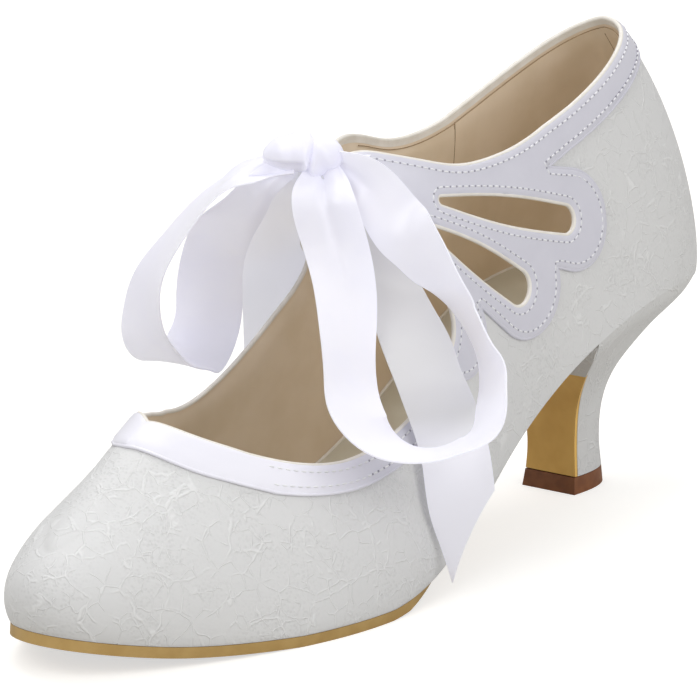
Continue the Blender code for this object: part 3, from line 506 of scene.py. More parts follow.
def panel(side):
    """Half of the upper cut flat: points as turn and girth, triangles, and which of them are trim."""
    outline, tops, bands, parts = panel_lines(side)
    drops = [on_panel(row, side) for row in DROPS]
    lobes = [on_panel(row, side) for row in LOBES]
    points = []
    edges = []
    lines = [(outline, True)] + [(band, False) for band in bands] + [(drop, True) for drop in drops]
    for line, closed in lines:
        first = len(points)
        points += list(line)
        edges += [(first + i, first + i + 1) for i in range(len(line) - 1)]
        if closed:
            edges.append((first + len(line) - 1, first))
    for lobe in lobes:
        kept = inside(lobe, outline)
        first = len(points)
        points += list(lobe)
        for i in range(len(lobe)):
            after = (i + 1) % len(lobe)
            if kept[i] and kept[after]:
                edges.append((first + i, first + after))
    points = np.array(points)
    taken = np.concatenate([points, points[np.array(edges)].mean(1)]) * PANEL_SCALE

    lattice = np.stack(np.meshgrid(np.arange(LATTICE / 2, TURN_SCALE, LATTICE),
                                   np.arange(LATTICE / 2, GIRTH_SCALE, LATTICE)), -1).reshape(-1, 2)
    rows = [moved_edge(line, side, inset) for inset in RIM_ROWS for line in tops]
    rows += [on_panel(row, side, inset) for inset in RIM_ROWS for row in DROPS]
    rows += [on_panel(row, side, -inset) for inset in LOBE_ROWS for row in LOBES]
    rows = np.concatenate(rows) * PANEL_SCALE
    rows = rows[inside(rows / PANEL_SCALE, outline)]
    rows = rows[nearest(rows, taken) > ROW_KEEP_OFF]
    lattice = lattice[inside(lattice / PANEL_SCALE, outline)]
    lattice = lattice[nearest(lattice, np.concatenate([taken, rows])) > KEEP_OFF]
    points = np.concatenate([points * PANEL_SCALE, rows, lattice])
    verts, _, faces, _, _, _ = delaunay_2d_cdt([Vector(p) for p in points.tolist()], edges, [], 0, WELD)
    cut = np.array([v.to_tuple() for v in verts]) / PANEL_SCALE
    triangles = np.array(faces)
    centre = cut[triangles].mean(1)
    hole = np.any([inside(centre, drop) for drop in drops], axis=0)
    kept = inside(centre, outline) & ~hole
    top = np.concatenate([rib(line[:, 0], side, line[:, 1]) for line in tops])
    trim = nearest(rib(centre[:, 0], side, centre[:, 1]), top) < BAND - STRAP_SLACK
    trim &= station(centre[:, 0]) < STRAP_UNTIL
    for part, band in zip(parts, bands):
        trim |= inside(centre, np.concatenate([part, band[::-1]]))
    for lobe in lobes:
        trim |= inside(centre, lobe) & (centre[:, 1] > LOBE_LOW)
    return cut, triangles[kept], trim[kept]


def both_panels():
    """Both halves welded on back seam, toe line and ridge."""
    places = []
    sides = []
    triangles = []
    trims = []
    index = {}
    for side in (1, -1):
        cut, faces, trim = panel(side)
        renumber = np.zeros(len(cut), int)
        for i, (turn, girth) in enumerate(cut.round(5).tolist()):
            seam = turn <= 0 or turn >= 1 or girth >= 1
            key = (turn, girth, 0 if seam else side)
            if key not in index:
                index[key] = len(places)
                places.append((turn, girth))
                sides.append(key[2])
            renumber[i] = index[key]
        triangles.append(renumber[faces][:, ::side])
        trims.append(trim)
    used, triangles = np.unique(np.concatenate(triangles), return_inverse=True)
    return np.array(places)[used], np.array(sides)[used], triangles.reshape(-1, 3), np.concatenate(trims)


def lasted(places, sides):
    """Points and outward directions of the pattern on the last, seam points as the mean of both sides."""
    turn = places[:, 0]
    girth = places[:, 1]
    share = (sides[:, None] + 1) / 2
    points = rib(turn, 1, girth) * share + rib(turn, -1, girth) * (1 - share)
    normals = normal_at(turn, 1, girth) * share + normal_at(turn, -1, girth) * (1 - share)
    return points, unit(normals)


def rim_edges(triangles):
    """Edges that only one triangle uses, in the direction in which it uses them."""
    sides = np.concatenate([triangles[:, [0, 1]], triangles[:, [1, 2]], triangles[:, [2, 0]]])
    _, first, uses = np.unique(np.sort(sides, axis=1), axis=0, return_index=True, return_counts=True)
    return sides[first[uses == 1]]


def rim_loops(triangles):
    """The rim edges chained into closed loops of point numbers."""
    after = {int(a): int(b) for a, b in rim_edges(triangles)}
    loops = []
    while after:
        start = next(iter(after))
        loop = [start]
        here = after.pop(start)
        while here != start:
            loop.append(here)
            here = after.pop(here, start)
        loops.append(np.array(loop))
    return loops


# Mesh makers

def to_frame(points):
    """From the last's millimetres to the frame's metres."""
    return np.stack([points[..., 0] - CENTRE_X, CENTRE_T - points[..., 1], points[..., 2]], -1) * METRE


def add_piece(name, points, faces, finishes, slot, replaced=(), which=None):
    """One closed mesh in the frame, faces turned outwards, riding on the shoe."""
    place = to_frame(points)
    corner = place[faces[:, :3]]
    volume = np.einsum("ij,ij->i", corner[:, 0], np.cross(corner[:, 1], corner[:, 2])).sum()
    if faces.shape[1] == 4:
        corner = place[faces[:, [0, 2, 3]]]
        volume += np.einsum("ij,ij->i", corner[:, 0], np.cross(corner[:, 1], corner[:, 2])).sum()
    if volume < 0:
        faces = faces[:, ::-1]
    mesh = bpy.data.meshes.new(name)
    mesh.from_pydata(place.tolist(), [], faces.tolist())
    mesh.shade_smooth()
    mesh.set_sharp_from_angle(angle=np.radians(SHARP_ANGLE))
    for finish in finishes:
        mesh.materials.append(finish)
    if which is not None:
        mesh.polygons.foreach_set("material_index", which.astype(np.int32))
    piece = bpy.data.objects.new(name, mesh)
    bpy.context.scene.collection.objects.link(piece)
    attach(piece, "root")
    if replaced:
        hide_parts(*replaced)
    return piece


def thick_sheet(outer, inner, triangles):
    """Closed sheet between two surfaces with the same triangles."""
    used, triangles = np.unique(triangles, return_inverse=True)
    triangles = triangles.reshape(-1, 3)
    count = len(used)
    rim = rim_edges(triangles)
    walls = np.concatenate([np.stack([rim[:, 1], rim[:, 0], rim[:, 0] + count], -1),
                            np.stack([rim[:, 1], rim[:, 0] + count, rim[:, 1] + count], -1)])
    faces = np.concatenate([triangles, triangles[:, ::-1] + count, walls])
    return np.concatenate([outer[used], inner[used]]), faces


def ring_quads(levels, size, closed_run):
    """Quads between neighbouring rings of one size, the last joined to the first in a closed run."""
    level = np.arange(levels if closed_run else levels - 1)[:, None]
    around = np.arange(size)
    after = (around + 1) % size
    following = (level + 1) % levels
    corners = [level * size + around, level * size + after,
               following * size + after, following * size + around]
    return np.stack(corners, -1).reshape(-1, 4)


def loft(rings):
    """Closed skin through rings of one even size, both ends filled by strips across."""
    levels, size = rings.shape[:2]
    half = np.arange(size // 2 - 1)
    strip = np.stack([size - 1 - half, size - 2 - half, half + 1, half], -1)
    last = strip[:, ::-1] + (levels - 1) * size
    return rings.reshape(-1, 3), np.concatenate([ring_quads(levels, size, False), strip, last])


def circles(first, second, sides):
    """Unit circles in the planes of paired directions: cosine of the first plus sine of the second."""
    angle = np.linspace(0, 2 * np.pi, sides, endpoint=False)[None, :, None]
    return np.cos(angle) * first[:, None] + np.sin(angle) * second[:, None]


def repeated(shapes):
    """Lofts with the same number of rings as one: their points in a row and their faces renumbered."""
    points, faces = loft(shapes[0])
    faces = faces[None] + (np.arange(len(shapes)) * len(points))[:, None, None]
    return shapes.reshape(-1, 3), faces.reshape(-1, 4)


def tube(path, normals, radius, sides):
    """Round bead along a closed path: a circle in the plane of the normal and the direction across."""
    along = unit(np.roll(path, -1, axis=0) - np.roll(path, 1, axis=0))
    across = unit(np.cross(along, normals))
    up = np.cross(across, along)
    rings = path[:, None] + radius * circles(across, up, sides)
    return rings.reshape(-1, 3), ring_quads(len(path), sides, True)


def joined(shapes):
    """Several shapes as one: their points in a row and their faces renumbered."""
    starts = np.cumsum([0] + [len(points) for points, _ in shapes[:-1]])
    return (np.concatenate([points for points, _ in shapes]),
            np.concatenate([faces + start for (_, faces), start in zip(shapes, starts)]))


# Finishes

def linear(code):
    """Linear colour of an sRGB hex value."""
    value = np.array([int(code[i:i + 2], 16) for i in (0, 2, 4)]) / 255
    return (*np.where(value <= 0.04045, value / 12.92, ((value + 0.055) / 1.055) ** 2.4).tolist(), 1.0)


def add_node(tree, kind, links=(), **settings):
    """One node with its settings, and its inputs set, or linked to a socket or a node's first output."""
    node = tree.nodes.new(kind)
    for key, value in settings.items():
        setattr(node, key, value)
    for socket, value in dict(links).items():
        if isinstance(value, bpy.types.Node):
            value = value.outputs[0]
        if isinstance(value, bpy.types.NodeSocket):
            tree.links.new(value, node.inputs[socket])
        else:
            node.inputs[socket].default_value = value
    return node


def finish(name, **sockets):
    """A material with one Principled shader and the given constant sockets."""
    material = bpy.data.materials.new(name)
    material.use_nodes = True
    shader = material.node_tree.nodes["Principled BSDF"]
    for socket, value in sockets.items():
        shader.inputs[socket.replace("_", " ")].default_value = value
    return material, material.node_tree, shader


def per_metre(size_mm):
    """Texture scale for a pattern of this size."""
    return 1000.0 / size_mm


def dress(tree, shader, colour, height, strength, relief_mm):
    """Links a colour and a relief to the shader."""
    tree.links.new(colour.outputs["Result"], shader.inputs["Base Color"])
    bump = add_node(tree, "ShaderNodeBump",
                    {"Strength": strength, "Distance": relief_mm * METRE, "Height": height})
    tree.links.new(bump.outputs[0], shader.inputs["Normal"])


# Ramps that start and stop gently
EASED = {"interpolation_type": "SMOOTHSTEP"}
# How far the lines of the lace sway, in metres, and the rise of a line as shares of its half width
LACE_SWAY = 0.005
LINE_RISE = (0.4, 1.6)


def corded_lace():
    """White corded lace on a satin ground: thin raised cords in branching lines, fine net between them."""
    material, tree, shader = finish("corded_lace_over_satin", Roughness=0.55, IOR=1.45, Sheen_Weight=0.1)
    place = add_node(tree, "ShaderNodeTexCoord").outputs["Object"]
    sway = add_node(tree, "ShaderNodeTexNoise", {"Vector": place, "Scale": per_metre(9.0), "Detail": 2.0})
    shifted = add_node(tree, "ShaderNodeVectorMath", {0: sway.outputs["Color"], 1: (0.5, 0.5, 0.5)},
                       operation="SUBTRACT")
    bent = add_node(tree, "ShaderNodeVectorMath", {0: shifted, 1: (LACE_SWAY,) * 3, 2: place},
                    operation="MULTIPLY_ADD")
    patch = add_node(tree, "ShaderNodeTexNoise", {"Vector": place, "Scale": per_metre(13.0), "Detail": 1.0})
    breaks = add_node(tree, "ShaderNodeTexNoise", {"Vector": place, "Scale": per_metre(4.0), "Detail": 2.0})
    broken = add_node(tree, "ShaderNodeMapRange", {"Value": breaks, "From Min": 0.37, "From Max": 0.52},
                      **EASED)

    def cord_lines(size_mm, half_mm, patch_from, patch_to):
        """Thin lines between cells of the given size, kept in patches and broken here and there."""
        cells = add_node(tree, "ShaderNodeTexVoronoi", {"Vector": bent, "Scale": per_metre(size_mm)},
                         feature="DISTANCE_TO_EDGE")
        line = add_node(tree, "ShaderNodeMapRange",
                        {"Value": cells.outputs["Distance"], "From Min": LINE_RISE[0] * half_mm / size_mm,
                         "From Max": LINE_RISE[1] * half_mm / size_mm, "To Min": 1.0, "To Max": 0.0},
                        **EASED)
        kept = add_node(tree, "ShaderNodeMapRange",
                        {"Value": patch, "From Min": patch_from, "From Max": patch_to}, **EASED)
        inside_patch = add_node(tree, "ShaderNodeMath", {0: line, 1: kept}, operation="MULTIPLY")
        return add_node(tree, "ShaderNodeMath", {0: inside_patch, 1: broken}, operation="MULTIPLY")

    vines = cord_lines(11.0, 0.20, 0.36, 0.48)
    leaves = cord_lines(3.8, 0.13, 0.48, 0.54)
    sprigs = cord_lines(5.4, 0.14, 0.49, 0.42)
    cords = add_node(tree, "ShaderNodeMath", {0: vines, 1: leaves}, operation="MAXIMUM")
    cords = add_node(tree, "ShaderNodeMath", {0: cords, 1: sprigs}, operation="MAXIMUM")
    # Net of about 0.6 mm mesh, drawn at 0.9 mm so that it shows
    net = add_node(tree, "ShaderNodeTexVoronoi", {"Vector": place, "Scale": per_metre(0.9)})
    net_hole_depth_and_shade = add_node(tree, "ShaderNodeMapRange",
                        {"Value": net.outputs["Distance"], "From Min": 0.15, "From Max": 0.55,
                         "To Min": 1.0, "To Max": 0.0})
    net_patch = add_node(tree, "ShaderNodeMapRange",
                         {"Value": patch, "From Min": 0.40, "From Max": 0.62, "To Min": 0.15, "To Max": 1.0})
    holes = add_node(tree, "ShaderNodeMath", {0: net_hole_depth_and_shade, 1: net_patch}, operation="MULTIPLY")
    # The net is real and its holes are sunk in relief; their darker colour is painted shade
    ground = add_node(tree, "ShaderNodeMix", {"Factor": holes, "A": linear("DADADA"), "B": linear("D3D3D3")},
                      data_type="RGBA")
    colour = add_node(tree, "ShaderNodeMix",
                      {"Factor": cords, "A": ground.outputs["Result"], "B": linear("E2E2E2")},
                      data_type="RGBA")
    height = add_node(tree, "ShaderNodeMath", {0: holes, 1: -0.4, 2: cords}, operation="MULTIPLY_ADD")
    dress(tree, shader, colour, height, 0.55, 0.3)
    return material


def cloudy(name, light, dark, cloud_mm, grain_mm, bump_mm, strength, **sockets):
    """A finish with soft clouds of two close colours and a fine grain in relief."""
    material, tree, shader = finish(name, **sockets)
    place = add_node(tree, "ShaderNodeTexCoord").outputs["Object"]
    cloud = add_node(tree, "ShaderNodeTexNoise",
                     {"Vector": place, "Scale": per_metre(cloud_mm), "Detail": 3.0})
    share = add_node(tree, "ShaderNodeMapRange",
                     {"Value": cloud.outputs["Fac"], "From Min": 0.3, "From Max": 0.7}, **EASED)
    colour = add_node(tree, "ShaderNodeMix", {"Factor": share, "A": linear(light), "B": linear(dark)},
                      data_type="RGBA")
    grain = add_node(tree, "ShaderNodeTexNoise",
                     {"Vector": place, "Scale": per_metre(grain_mm), "Detail": 4.0})
    dress(tree, shader, colour, grain.outputs["Fac"], strength, bump_mm)
    return material


def satin_with_painted_sheen():
    """Duchess satin with a soft slub, and a painted sheen: its band over the vamp is painted lighter than
    the quarters.
    """
    material, tree, shader = finish("duchess_satin_painted_sheen", Roughness=0.36, IOR=1.5, Sheen_Weight=0.2)
    place = add_node(tree, "ShaderNodeTexCoord").outputs["Object"]
    along = add_node(tree, "ShaderNodeSeparateXYZ", {0: place}).outputs["Y"]
    # Painted sheen: the band is painted lighter towards the toe, over the vamp
    front = add_node(tree, "ShaderNodeMapRange", {"Value": along, "From Min": -0.030, "From Max": -0.052},
                     **EASED)
    cloud = add_node(tree, "ShaderNodeTexNoise", {"Vector": place, "Scale": per_metre(7.0), "Detail": 3.0})
    side = add_node(tree, "ShaderNodeMix",
                    {"Factor": cloud.outputs["Fac"], "A": linear("D9D8E2"), "B": linear("CFCED9")},
                    data_type="RGBA")
    colour = add_node(tree, "ShaderNodeMix",
                      {"Factor": front, "A": side.outputs["Result"], "B": linear("ECEBF4")},
                      data_type="RGBA")
    grain = add_node(tree, "ShaderNodeTexNoise", {"Vector": place, "Scale": per_metre(1.6), "Detail": 4.0})
    dress(tree, shader, colour, grain.outputs["Fac"], 0.3, 0.12)
    return material


def ribbon_end_painted_shade(name, painted_shade_colour):
    """Ribbon end with painted shade: grey on its upper part, satin colour lower down."""
    material, tree, shader = finish(name, Roughness=0.5, IOR=1.45, **THIN_CLOTH_WITH_PAINTED_GLOW)
    place = add_node(tree, "ShaderNodeTexCoord").outputs["Object"]
    height = add_node(tree, "ShaderNodeSeparateXYZ", {0: place}).outputs["Z"]
    # Painted shade: grey above this height, satin colour below it
    painted_shade_share = add_node(tree, "ShaderNodeMapRange", {"Value": height, "From Min": 0.036, "From Max": 0.046},
                      **EASED)
    colour = add_node(tree, "ShaderNodeMix", {"Factor": painted_shade_share, "A": linear("E8E7F0"), "B": linear(painted_shade_colour)},
                      data_type="RGBA")
    tree.links.new(colour.outputs["Result"], shader.inputs["Base Color"])
    return material


# Thin white cloth: light passes through it, and a painted glow keeps its shaded side pale
THIN_CLOTH_WITH_PAINTED_GLOW = {"Subsurface_Weight": 0.5, "Subsurface_Radius": (1.0, 1.0, 1.0), "Subsurface_Scale": 0.003,
              "Emission_Color": linear("EEEEFF"), "Emission_Strength": 0.185}
LACE = corded_lace()
TRIM_SATIN = satin_with_painted_sheen()
# Satin ribbon: a smooth face with a soft shine; the upper parts of its free ends are painted grey as shade
RIBBON_SATIN = cloudy("ribbon_satin", "E6E5EF", "DEDDE9", 20.0, 0.8, 0.03, 0.15,
                      Roughness=0.36, IOR=1.5, Sheen_Weight=0.25, **THIN_CLOTH_WITH_PAINTED_GLOW)
NEAR_END_PAINTED_SHADE = ribbon_end_painted_shade("ribbon_end_painted_shade_near", "BFBFBE")
FAR_END_PAINTED_SHADE = ribbon_end_painted_shade("ribbon_end_painted_shade_far", "E0E0E2")
# Pigskin lining and sock leather: matt and pale with a faint grain
LINING = cloudy("lining_pigskin", "EEDDC6", "E7D5BB", 11.0, 0.7, 0.05, 0.3, Roughness=0.62, IOR=1.48)
SOCK = cloudy("sock_leather", "D3CEBD", "C9C3B0", 15.0, 0.8, 0.05, 0.3, Roughness=0.6, IOR=1.48)
# Sole leather: smooth tan, darker on its eased edges, with a dark line along its foot and painted shade
# where its top meets the upper; more yellow down the breast
SOLE_LEATHER = cloudy("sole_leather_edge", "BD9C60", "B18F52", 6.0, 0.5, 0.06, 0.4, Roughness=0.5, IOR=1.5)
SOLE_EDGE_LINE_AND_SHADE = cloudy("sole_edge_line_and_painted_shade", "8A6636", "7C5A2E", 6.0, 0.5, 0.06, 0.3, Roughness=0.45, IOR=1.5)
BREAST_LEATHER = cloudy("heel_breast_leather", "F0C26A", "E4B35C", 9.0, 0.6, 0.06, 0.3,
                        Roughness=0.45, IOR=1.5)
# Moulded rubber: dull brown
LIFT_RUBBER = cloudy("top_lift_rubber", "8A5530", "7A4826", 3.0, 0.4, 0.05, 0.4, Roughness=0.5, IOR=1.52)
# Binding, sewing thread and the marks of sewing, matt and slightly fuzzy: the needle holes are grey discs of
# painted shade
PIPING = cloudy("binding_satin", "EFEBE4", "E6E1D8", 4.0, 0.6, 0.04, 0.3, Roughness=0.5, IOR=1.45)
THREAD = cloudy("sewing_thread", "F2F2F4", "E6E6EA", 2.0, 0.3, 0.05, 0.5, Roughness=0.6, IOR=1.45)
SEAM_THREAD = cloudy("lining_seam", "A88F70", "9A8060", 2.0, 0.3, 0.03, 0.3, Roughness=0.8, IOR=1.45)
NEEDLE_SHADE = cloudy("needle_hole_painted_shade", "A3A2AC", "9998A2", 1.0, 0.3, 0.02, 0.2, Roughness=0.9, IOR=1.4)

# Upper: lace, lining and satin trim from one pattern

# Share of a loop that lies on the upper's own rim where it is a top edge
TOP_SHARE = 0.8

places, sides, triangles, trims = both_panels()
surface, normals = lasted(places, sides)
upper_loops = rim_loops(triangles)
trim_loops = rim_loops(triangles[trims])
upper_rim = np.unique(np.concatenate(upper_loops))
top_loops = [loop for loop in trim_loops if np.isin(loop, upper_rim).mean() > TOP_SHARE]
outer_loops = [loop for loop in trim_loops if np.isin(loop, upper_rim).mean() <= TOP_SHARE]
to_top = nearest(surface, surface[np.concatenate(top_loops)])
to_outer = nearest(surface, surface[np.concatenate(outer_loops)])

thinned = smooth(to_top / SKIVE)
rounded = np.sqrt(1 - (1 - np.clip(to_top / EDGE_ROUND, 0, 1)) ** 2)
lipped = np.sqrt(1 - (1 - np.clip(to_outer / EDGE_ROUND, 0, 1)) ** 2)


def layer(offset):
    """The surface moved outwards."""
    return surface + normals * offset[:, None]


lace_face = -LACE_ROUND * (1 - rounded)
lace_back = LACE_BACK * (LACE_SKIVED + (1 - LACE_SKIVED) * thinned)
lining_face = lace_back - LAYER_GAP
lining_back = -EDGE_HALF + (LINING_BACK + EDGE_HALF) * thinned
trim_face = EDGE_HALF + (TRIM_FACE - EDGE_HALF) * np.minimum(rounded, lipped)
trim_back = np.full(len(surface), TRIM_BACK)
lace_sheet = thick_sheet(layer(lace_face), layer(lace_back), triangles)
lining_sheet = thick_sheet(layer(lining_face), layer(lining_back), triangles)
trim_sheet = thick_sheet(layer(trim_face), layer(trim_back), triangles[trims])
add_piece("lace_upper", *lace_sheet, [LACE], "lace", ["upper"])
add_piece("lining", *lining_sheet, [LINING], "sock")
add_piece("satin_band", *trim_sheet, [TRIM_SATIN], "satin", ["satin_trim"])


def bead(path, radius, sides):
    """Thin round line along an open path: circles across its run, closed at both ends."""
    along = unit(np.gradient(path, axis=0))
    across = unit(np.cross(along, SLANT))
    up = np.cross(across, along)
    return loft(path[:, None] + radius * circles(across, up, sides))


def lining_line(turns, girths, side):
    """Points on the inner face of the lining at the given turns and girths."""
    depth = LINING_BACK - SEAM_SINK
    return rib(turns, side, girths) + normal_at(turns, side, girths) * depth


def lining_seams():
    """Row of sewing below the collar on both sides, side seams and the back seam of the lining."""
    lines = []
    down = np.linspace(0, 1, SEAM_POINTS)
    for side in (1, -1):
        row = moved_edge(edge_curve(COLLAR, side), side, COLLAR_ROW)[1:-SEAM_STOP]
        lines.append(lining_line(row[:, 0], row[:, 1], side))
        turns = turn_at((SIDE_SEAM[0] + (SIDE_SEAM[2] - SIDE_SEAM[0]) * down) / LENGTH)
        girths = SIDE_SEAM[1] + (SIDE_SEAM[3] - SIDE_SEAM[1]) * down
        lines.append(lining_line(turns, girths, side))
    back = COLLAR[0, 1] * np.linspace(*BACK_SEAM_SHARES, SEAM_POINTS)
    lines.append(lining_line(np.full_like(back, BACK_SEAM_TURN), back, -1))
    return joined([bead(line, SEAM_RADIUS, THREAD_SIDES) for line in lines])


def turned_binding():
    """Binding turned in along the collar: strip on the inner face of the lining, from the edge down."""
    strips = []
    for side in (1, -1):
        edge = edge_curve(COLLAR, side)
        inner = []
        outer = []
        for distance in TURNED_IN:
            row = moved_edge(edge, side, distance)[:-TURNED_STOP]
            row[0] = 0.0, row[1, 1]
            face = -EDGE_HALF + (LINING_BACK + EDGE_HALF) * smooth(distance / SKIVE)
            place = rib(row[:, 0], side, row[:, 1])
            normal = normal_at(row[:, 0], side, row[:, 1])
            inner.append(place + normal * (face - TURNED_OVER))
            outer.append(place + normal * (face + TURNED_UNDER))
        strips.append(loft(np.stack(inner + outer[::-1], 1)))
    return joined(strips)


add_piece("lining_seams", *lining_seams(), [SEAM_THREAD], "sock")
add_piece("turned_binding", *turned_binding(), [PIPING], "satin")
binding = [tube(surface[loop], normals[loop], BINDING, BEAD_SIDES) for loop in top_loops]
add_piece("edge_binding", *joined(binding), [PIPING], "satin")
fold = [tube(surface[loop] + normals[loop] * FOLD_LIFT, normals[loop], FOLD_BEAD, BEAD_SIDES)
        for loop in outer_loops]
add_piece("folded_edge", *joined(fold), [TRIM_SATIN], "satin")


# Stitches

def stitch_row(loop):
    """Even places along a loop moved into the trim, without those that come too near another edge."""
    path = surface[loop]
    along = unit(np.roll(path, -2, axis=0) - np.roll(path, 2, axis=0))
    inward = unit(np.cross(normals[loop], along))
    row = path + inward * STITCH_INSET
    rims = surface[np.concatenate(trim_loops)]
    row = row[nearest(row, rims) > STITCH_INSET * STITCH_CLEAR]
    ways = np.concatenate([row, row[:1]])
    run = np.concatenate([[0], np.cumsum(np.linalg.norm(np.diff(ways, axis=0), axis=1))])
    count = int(run[-1] / STITCH_SPACING)
    where = np.linspace(0, run[-1], count, endpoint=False)
    spots, ahead, between = [
        np.stack([np.interp((where + further) % run[-1], run, ways[:, i]) for i in range(3)], -1)
        for further in (0.0, STITCH_AHEAD, STITCH_SPACING / 2)]
    return spots, unit(ahead - spots), between


def closest_normal(spots):
    """Outward direction at the point of the surface that is closest to each spot."""
    blocks = np.array_split(spots, max(1, len(spots) // (BLOCK_ROWS // 2)))
    picks = [np.linalg.norm(block[:, None] - surface[None], axis=-1).argmin(1) for block in blocks]
    return normals[np.concatenate(picks)]


stitch_rows = [stitch_row(loop) for loop in trim_loops]
spots = np.concatenate([row[0] for row in stitch_rows])
runs = np.concatenate([row[1] for row in stitch_rows])
holes = np.concatenate([row[2] for row in stitch_rows])
holes = holes[holes[:, 1] < HOLES_UNTIL]
seen = spots[:, 1] < STITCHES_UNTIL


def sewn(spots, runs):
    """Small spindles: a circle that swells and closes again along each stitch."""
    normal = closest_normal(spots)
    across = unit(np.cross(normal, runs))
    up = np.cross(runs, across)
    share = np.linspace(-1, 1, STITCH_RINGS)[None, :, None, None]
    swell = np.sqrt(1 - (STITCH_TAPER * share) ** 2)
    centre = spots + normal * (TRIM_FACE + STITCH_LIFT)
    shape = centre[:, None, None] + runs[:, None, None] * (share * STITCH_LENGTH / 2)
    return repeated(shape + circles(across, up, THREAD_SIDES)[:, None] * (swell * STITCH_RADIUS))


def pricked(spots):
    """Small flat discs where the needle went through, grey as painted shade in the holes."""
    normal = closest_normal(spots)
    side = unit(np.cross(normal, HOLE_SLANT))
    ring = circles(side, np.cross(normal, side), THREAD_SIDES) * NEEDLE_HOLE
    low = (spots + normal * (TRIM_FACE - HOLE_DEPTH))[:, None] + ring
    high = (spots + normal * (TRIM_FACE + HOLE_LIFT))[:, None] + ring
    return repeated(np.stack([low, high], 1))


add_piece("stitches", *sewn(spots[seen], runs[seen]), [THREAD], "satin")
add_piece("needle_holes", *pricked(holes), [NEEDLE_SHADE], "satin")


# Heel, sole, top lift and sock

# Points round the heel and levels down it; ends and sections of the sole; how far a mitre may reach
HEEL_AROUND = 41
HEEL_LEVELS = 61
SOLE_TIP = 0.996
SOLE_SHORT = 1.2
SOLE_SECTIONS = 150
MITRE = 1.6
# Ends of the sock as turns, its sections and points across, how deep it is dished, the bead along its edge
SOCK_ENDS = (0.975, 0.02)
SOCK_SECTIONS = 120
SOCK_ACROSS = 13
SOCK_DISH = 0.7
SOCK_BEAD = 0.45
# Rounding of sharp edges: least angle, width on the sole and on the top lift
EASED_ANGLE = 45.0
SOLE_EASE = 0.35
LIFT_EASE = 0.3
# Places of the other finishes in the sole's list
EDGE_LINE_AND_SHADE = 2
COVERED = 3


def heel_rings():
    """Seat outline drawn in to the outline of the heel tip."""
    turns = np.linspace(turn_at(SEAT_BREAST / LENGTH), 0, HEEL_AROUND)
    near_x, near_t = plain_feather(turns, 1)
    far_x, far_t = plain_feather(turns, -1)
    x = np.concatenate([near_x, far_x[::-1]])
    t = np.concatenate([near_t, far_t[::-1]])
    seat_middle = (near_x[0] + far_x[0]) / 2
    seat_half = (near_x[0] - far_x[0]) / 2
    tip_x = TIP_MIDDLE + (x - seat_middle) * TIP_HALF_WIDTH / seat_half
    tip_t = TIP_BREAST - (SEAT_BREAST - t) * TIP_DEPTH / SEAT_BREAST
    tip_z = LIFT_HEIGHT + GAP / 2
    shares = np.linspace(0, 1, HEEL_LEVELS)[:, None]
    closing = spline(HEEL_PROFILE[:, 0], HEEL_PROFILE[:, 1])(shares)
    ring_x = x + (tip_x - x) * closing
    ring_t = t + (tip_t - t) * closing
    top_z = seat_height(t) + GAP + SEAT_LAP
    ring_z = top_z + (tip_z - top_z) * shares
    return np.stack([ring_x, ring_t, ring_z], -1)


def offset_line(line, distances):
    """Line in t and z moved to its left, with mitred corners."""
    left = unit(np.diff(line, axis=0)) @ np.array([[0.0, 1.0], [-1.0, 0.0]])
    before = np.concatenate([left[:1], left])
    after = np.concatenate([left, left[-1:]])
    both = unit(before + after)
    reach = np.clip(1 / (both * before).sum(1, keepdims=True), 1, MITRE)
    return line + both * reach * np.asarray(distances)[:, None]


def outsole_rings(heel):
    """Sections from the toe tip along the waist and down the heel breast, and where the breast starts."""
    turns = np.linspace(SOLE_TIP, turn_at((SEAT_BREAST + SOLE_SHORT) / LENGTH), SOLE_SECTIONS)
    t = station(turns)
    share = t / LENGTH
    thick, top_inset, low_inset = [np.interp(share, SOLE_EDGE[:, 0], SOLE_EDGE[:, i]) for i in (1, 2, 3)]
    breast = heel[2::2, [0, -1]]
    line = np.concatenate([np.stack([t, seat_height(t) + SOLE_LAP], -1),
                           breast[:, 0, 1:] + np.array([GAP / 2, 0])])
    other = offset_line(line, np.concatenate([thick + SOLE_LAP, np.full(len(breast), FLAP_THICK)]))
    other[:, 1] = np.maximum(other[:, 1], 0)
    near_x = plain_feather(turns, 1)[0]
    far_x = plain_feather(turns, -1)[0]
    near_top = np.concatenate([near_x - top_inset, breast[:, 0, 0]])
    far_top = np.concatenate([far_x + top_inset, breast[:, 1, 0]])
    near_low = np.concatenate([near_x - low_inset, breast[:, 0, 0]])
    far_low = np.concatenate([far_x + low_inset, breast[:, 1, 0]])
    corners = [np.concatenate([near_top[:, None], line], 1), np.concatenate([far_top[:, None], line], 1),
               np.concatenate([far_low[:, None], other], 1), np.concatenate([near_low[:, None], other], 1)]
    return np.stack(corners, 1), len(turns)


def eased_edges(piece, width_mm, finish_number=-1):
    """Rounds the sharp edges of a piece, if asked in another of its finishes."""
    bevel = piece.modifiers.new("eased_edges", "BEVEL")
    bevel.width = width_mm * METRE
    bevel.segments = 3
    bevel.limit_method = "ANGLE"
    bevel.angle_limit = np.radians(EASED_ANGLE)
    bevel.harden_normals = False
    bevel.material = finish_number


heel = heel_rings()
add_piece("heel_cover", *loft(heel), [LACE], "heel_cover", ["heel"])
sole_sections, breast_start = outsole_rings(heel)
sole_points, sole_faces = loft(sole_sections)
sole_rows = sole_faces.mean(1) / 4
sole_finish = (sole_rows > breast_start).astype(int)
by_seat = sole_rows > breast_start - SEAT_ROWS
high_up = sole_points[sole_faces].mean(1)[:, 2] > BREAST_TOP
sole_finish[by_seat & high_up] = COVERED
sole_finishes = [SOLE_LEATHER, BREAST_LEATHER, SOLE_EDGE_LINE_AND_SHADE, LACE]
outsole = add_piece("leather_sole", sole_points, sole_faces, sole_finishes, "sole", ["outsole"],
                    which=sole_finish)
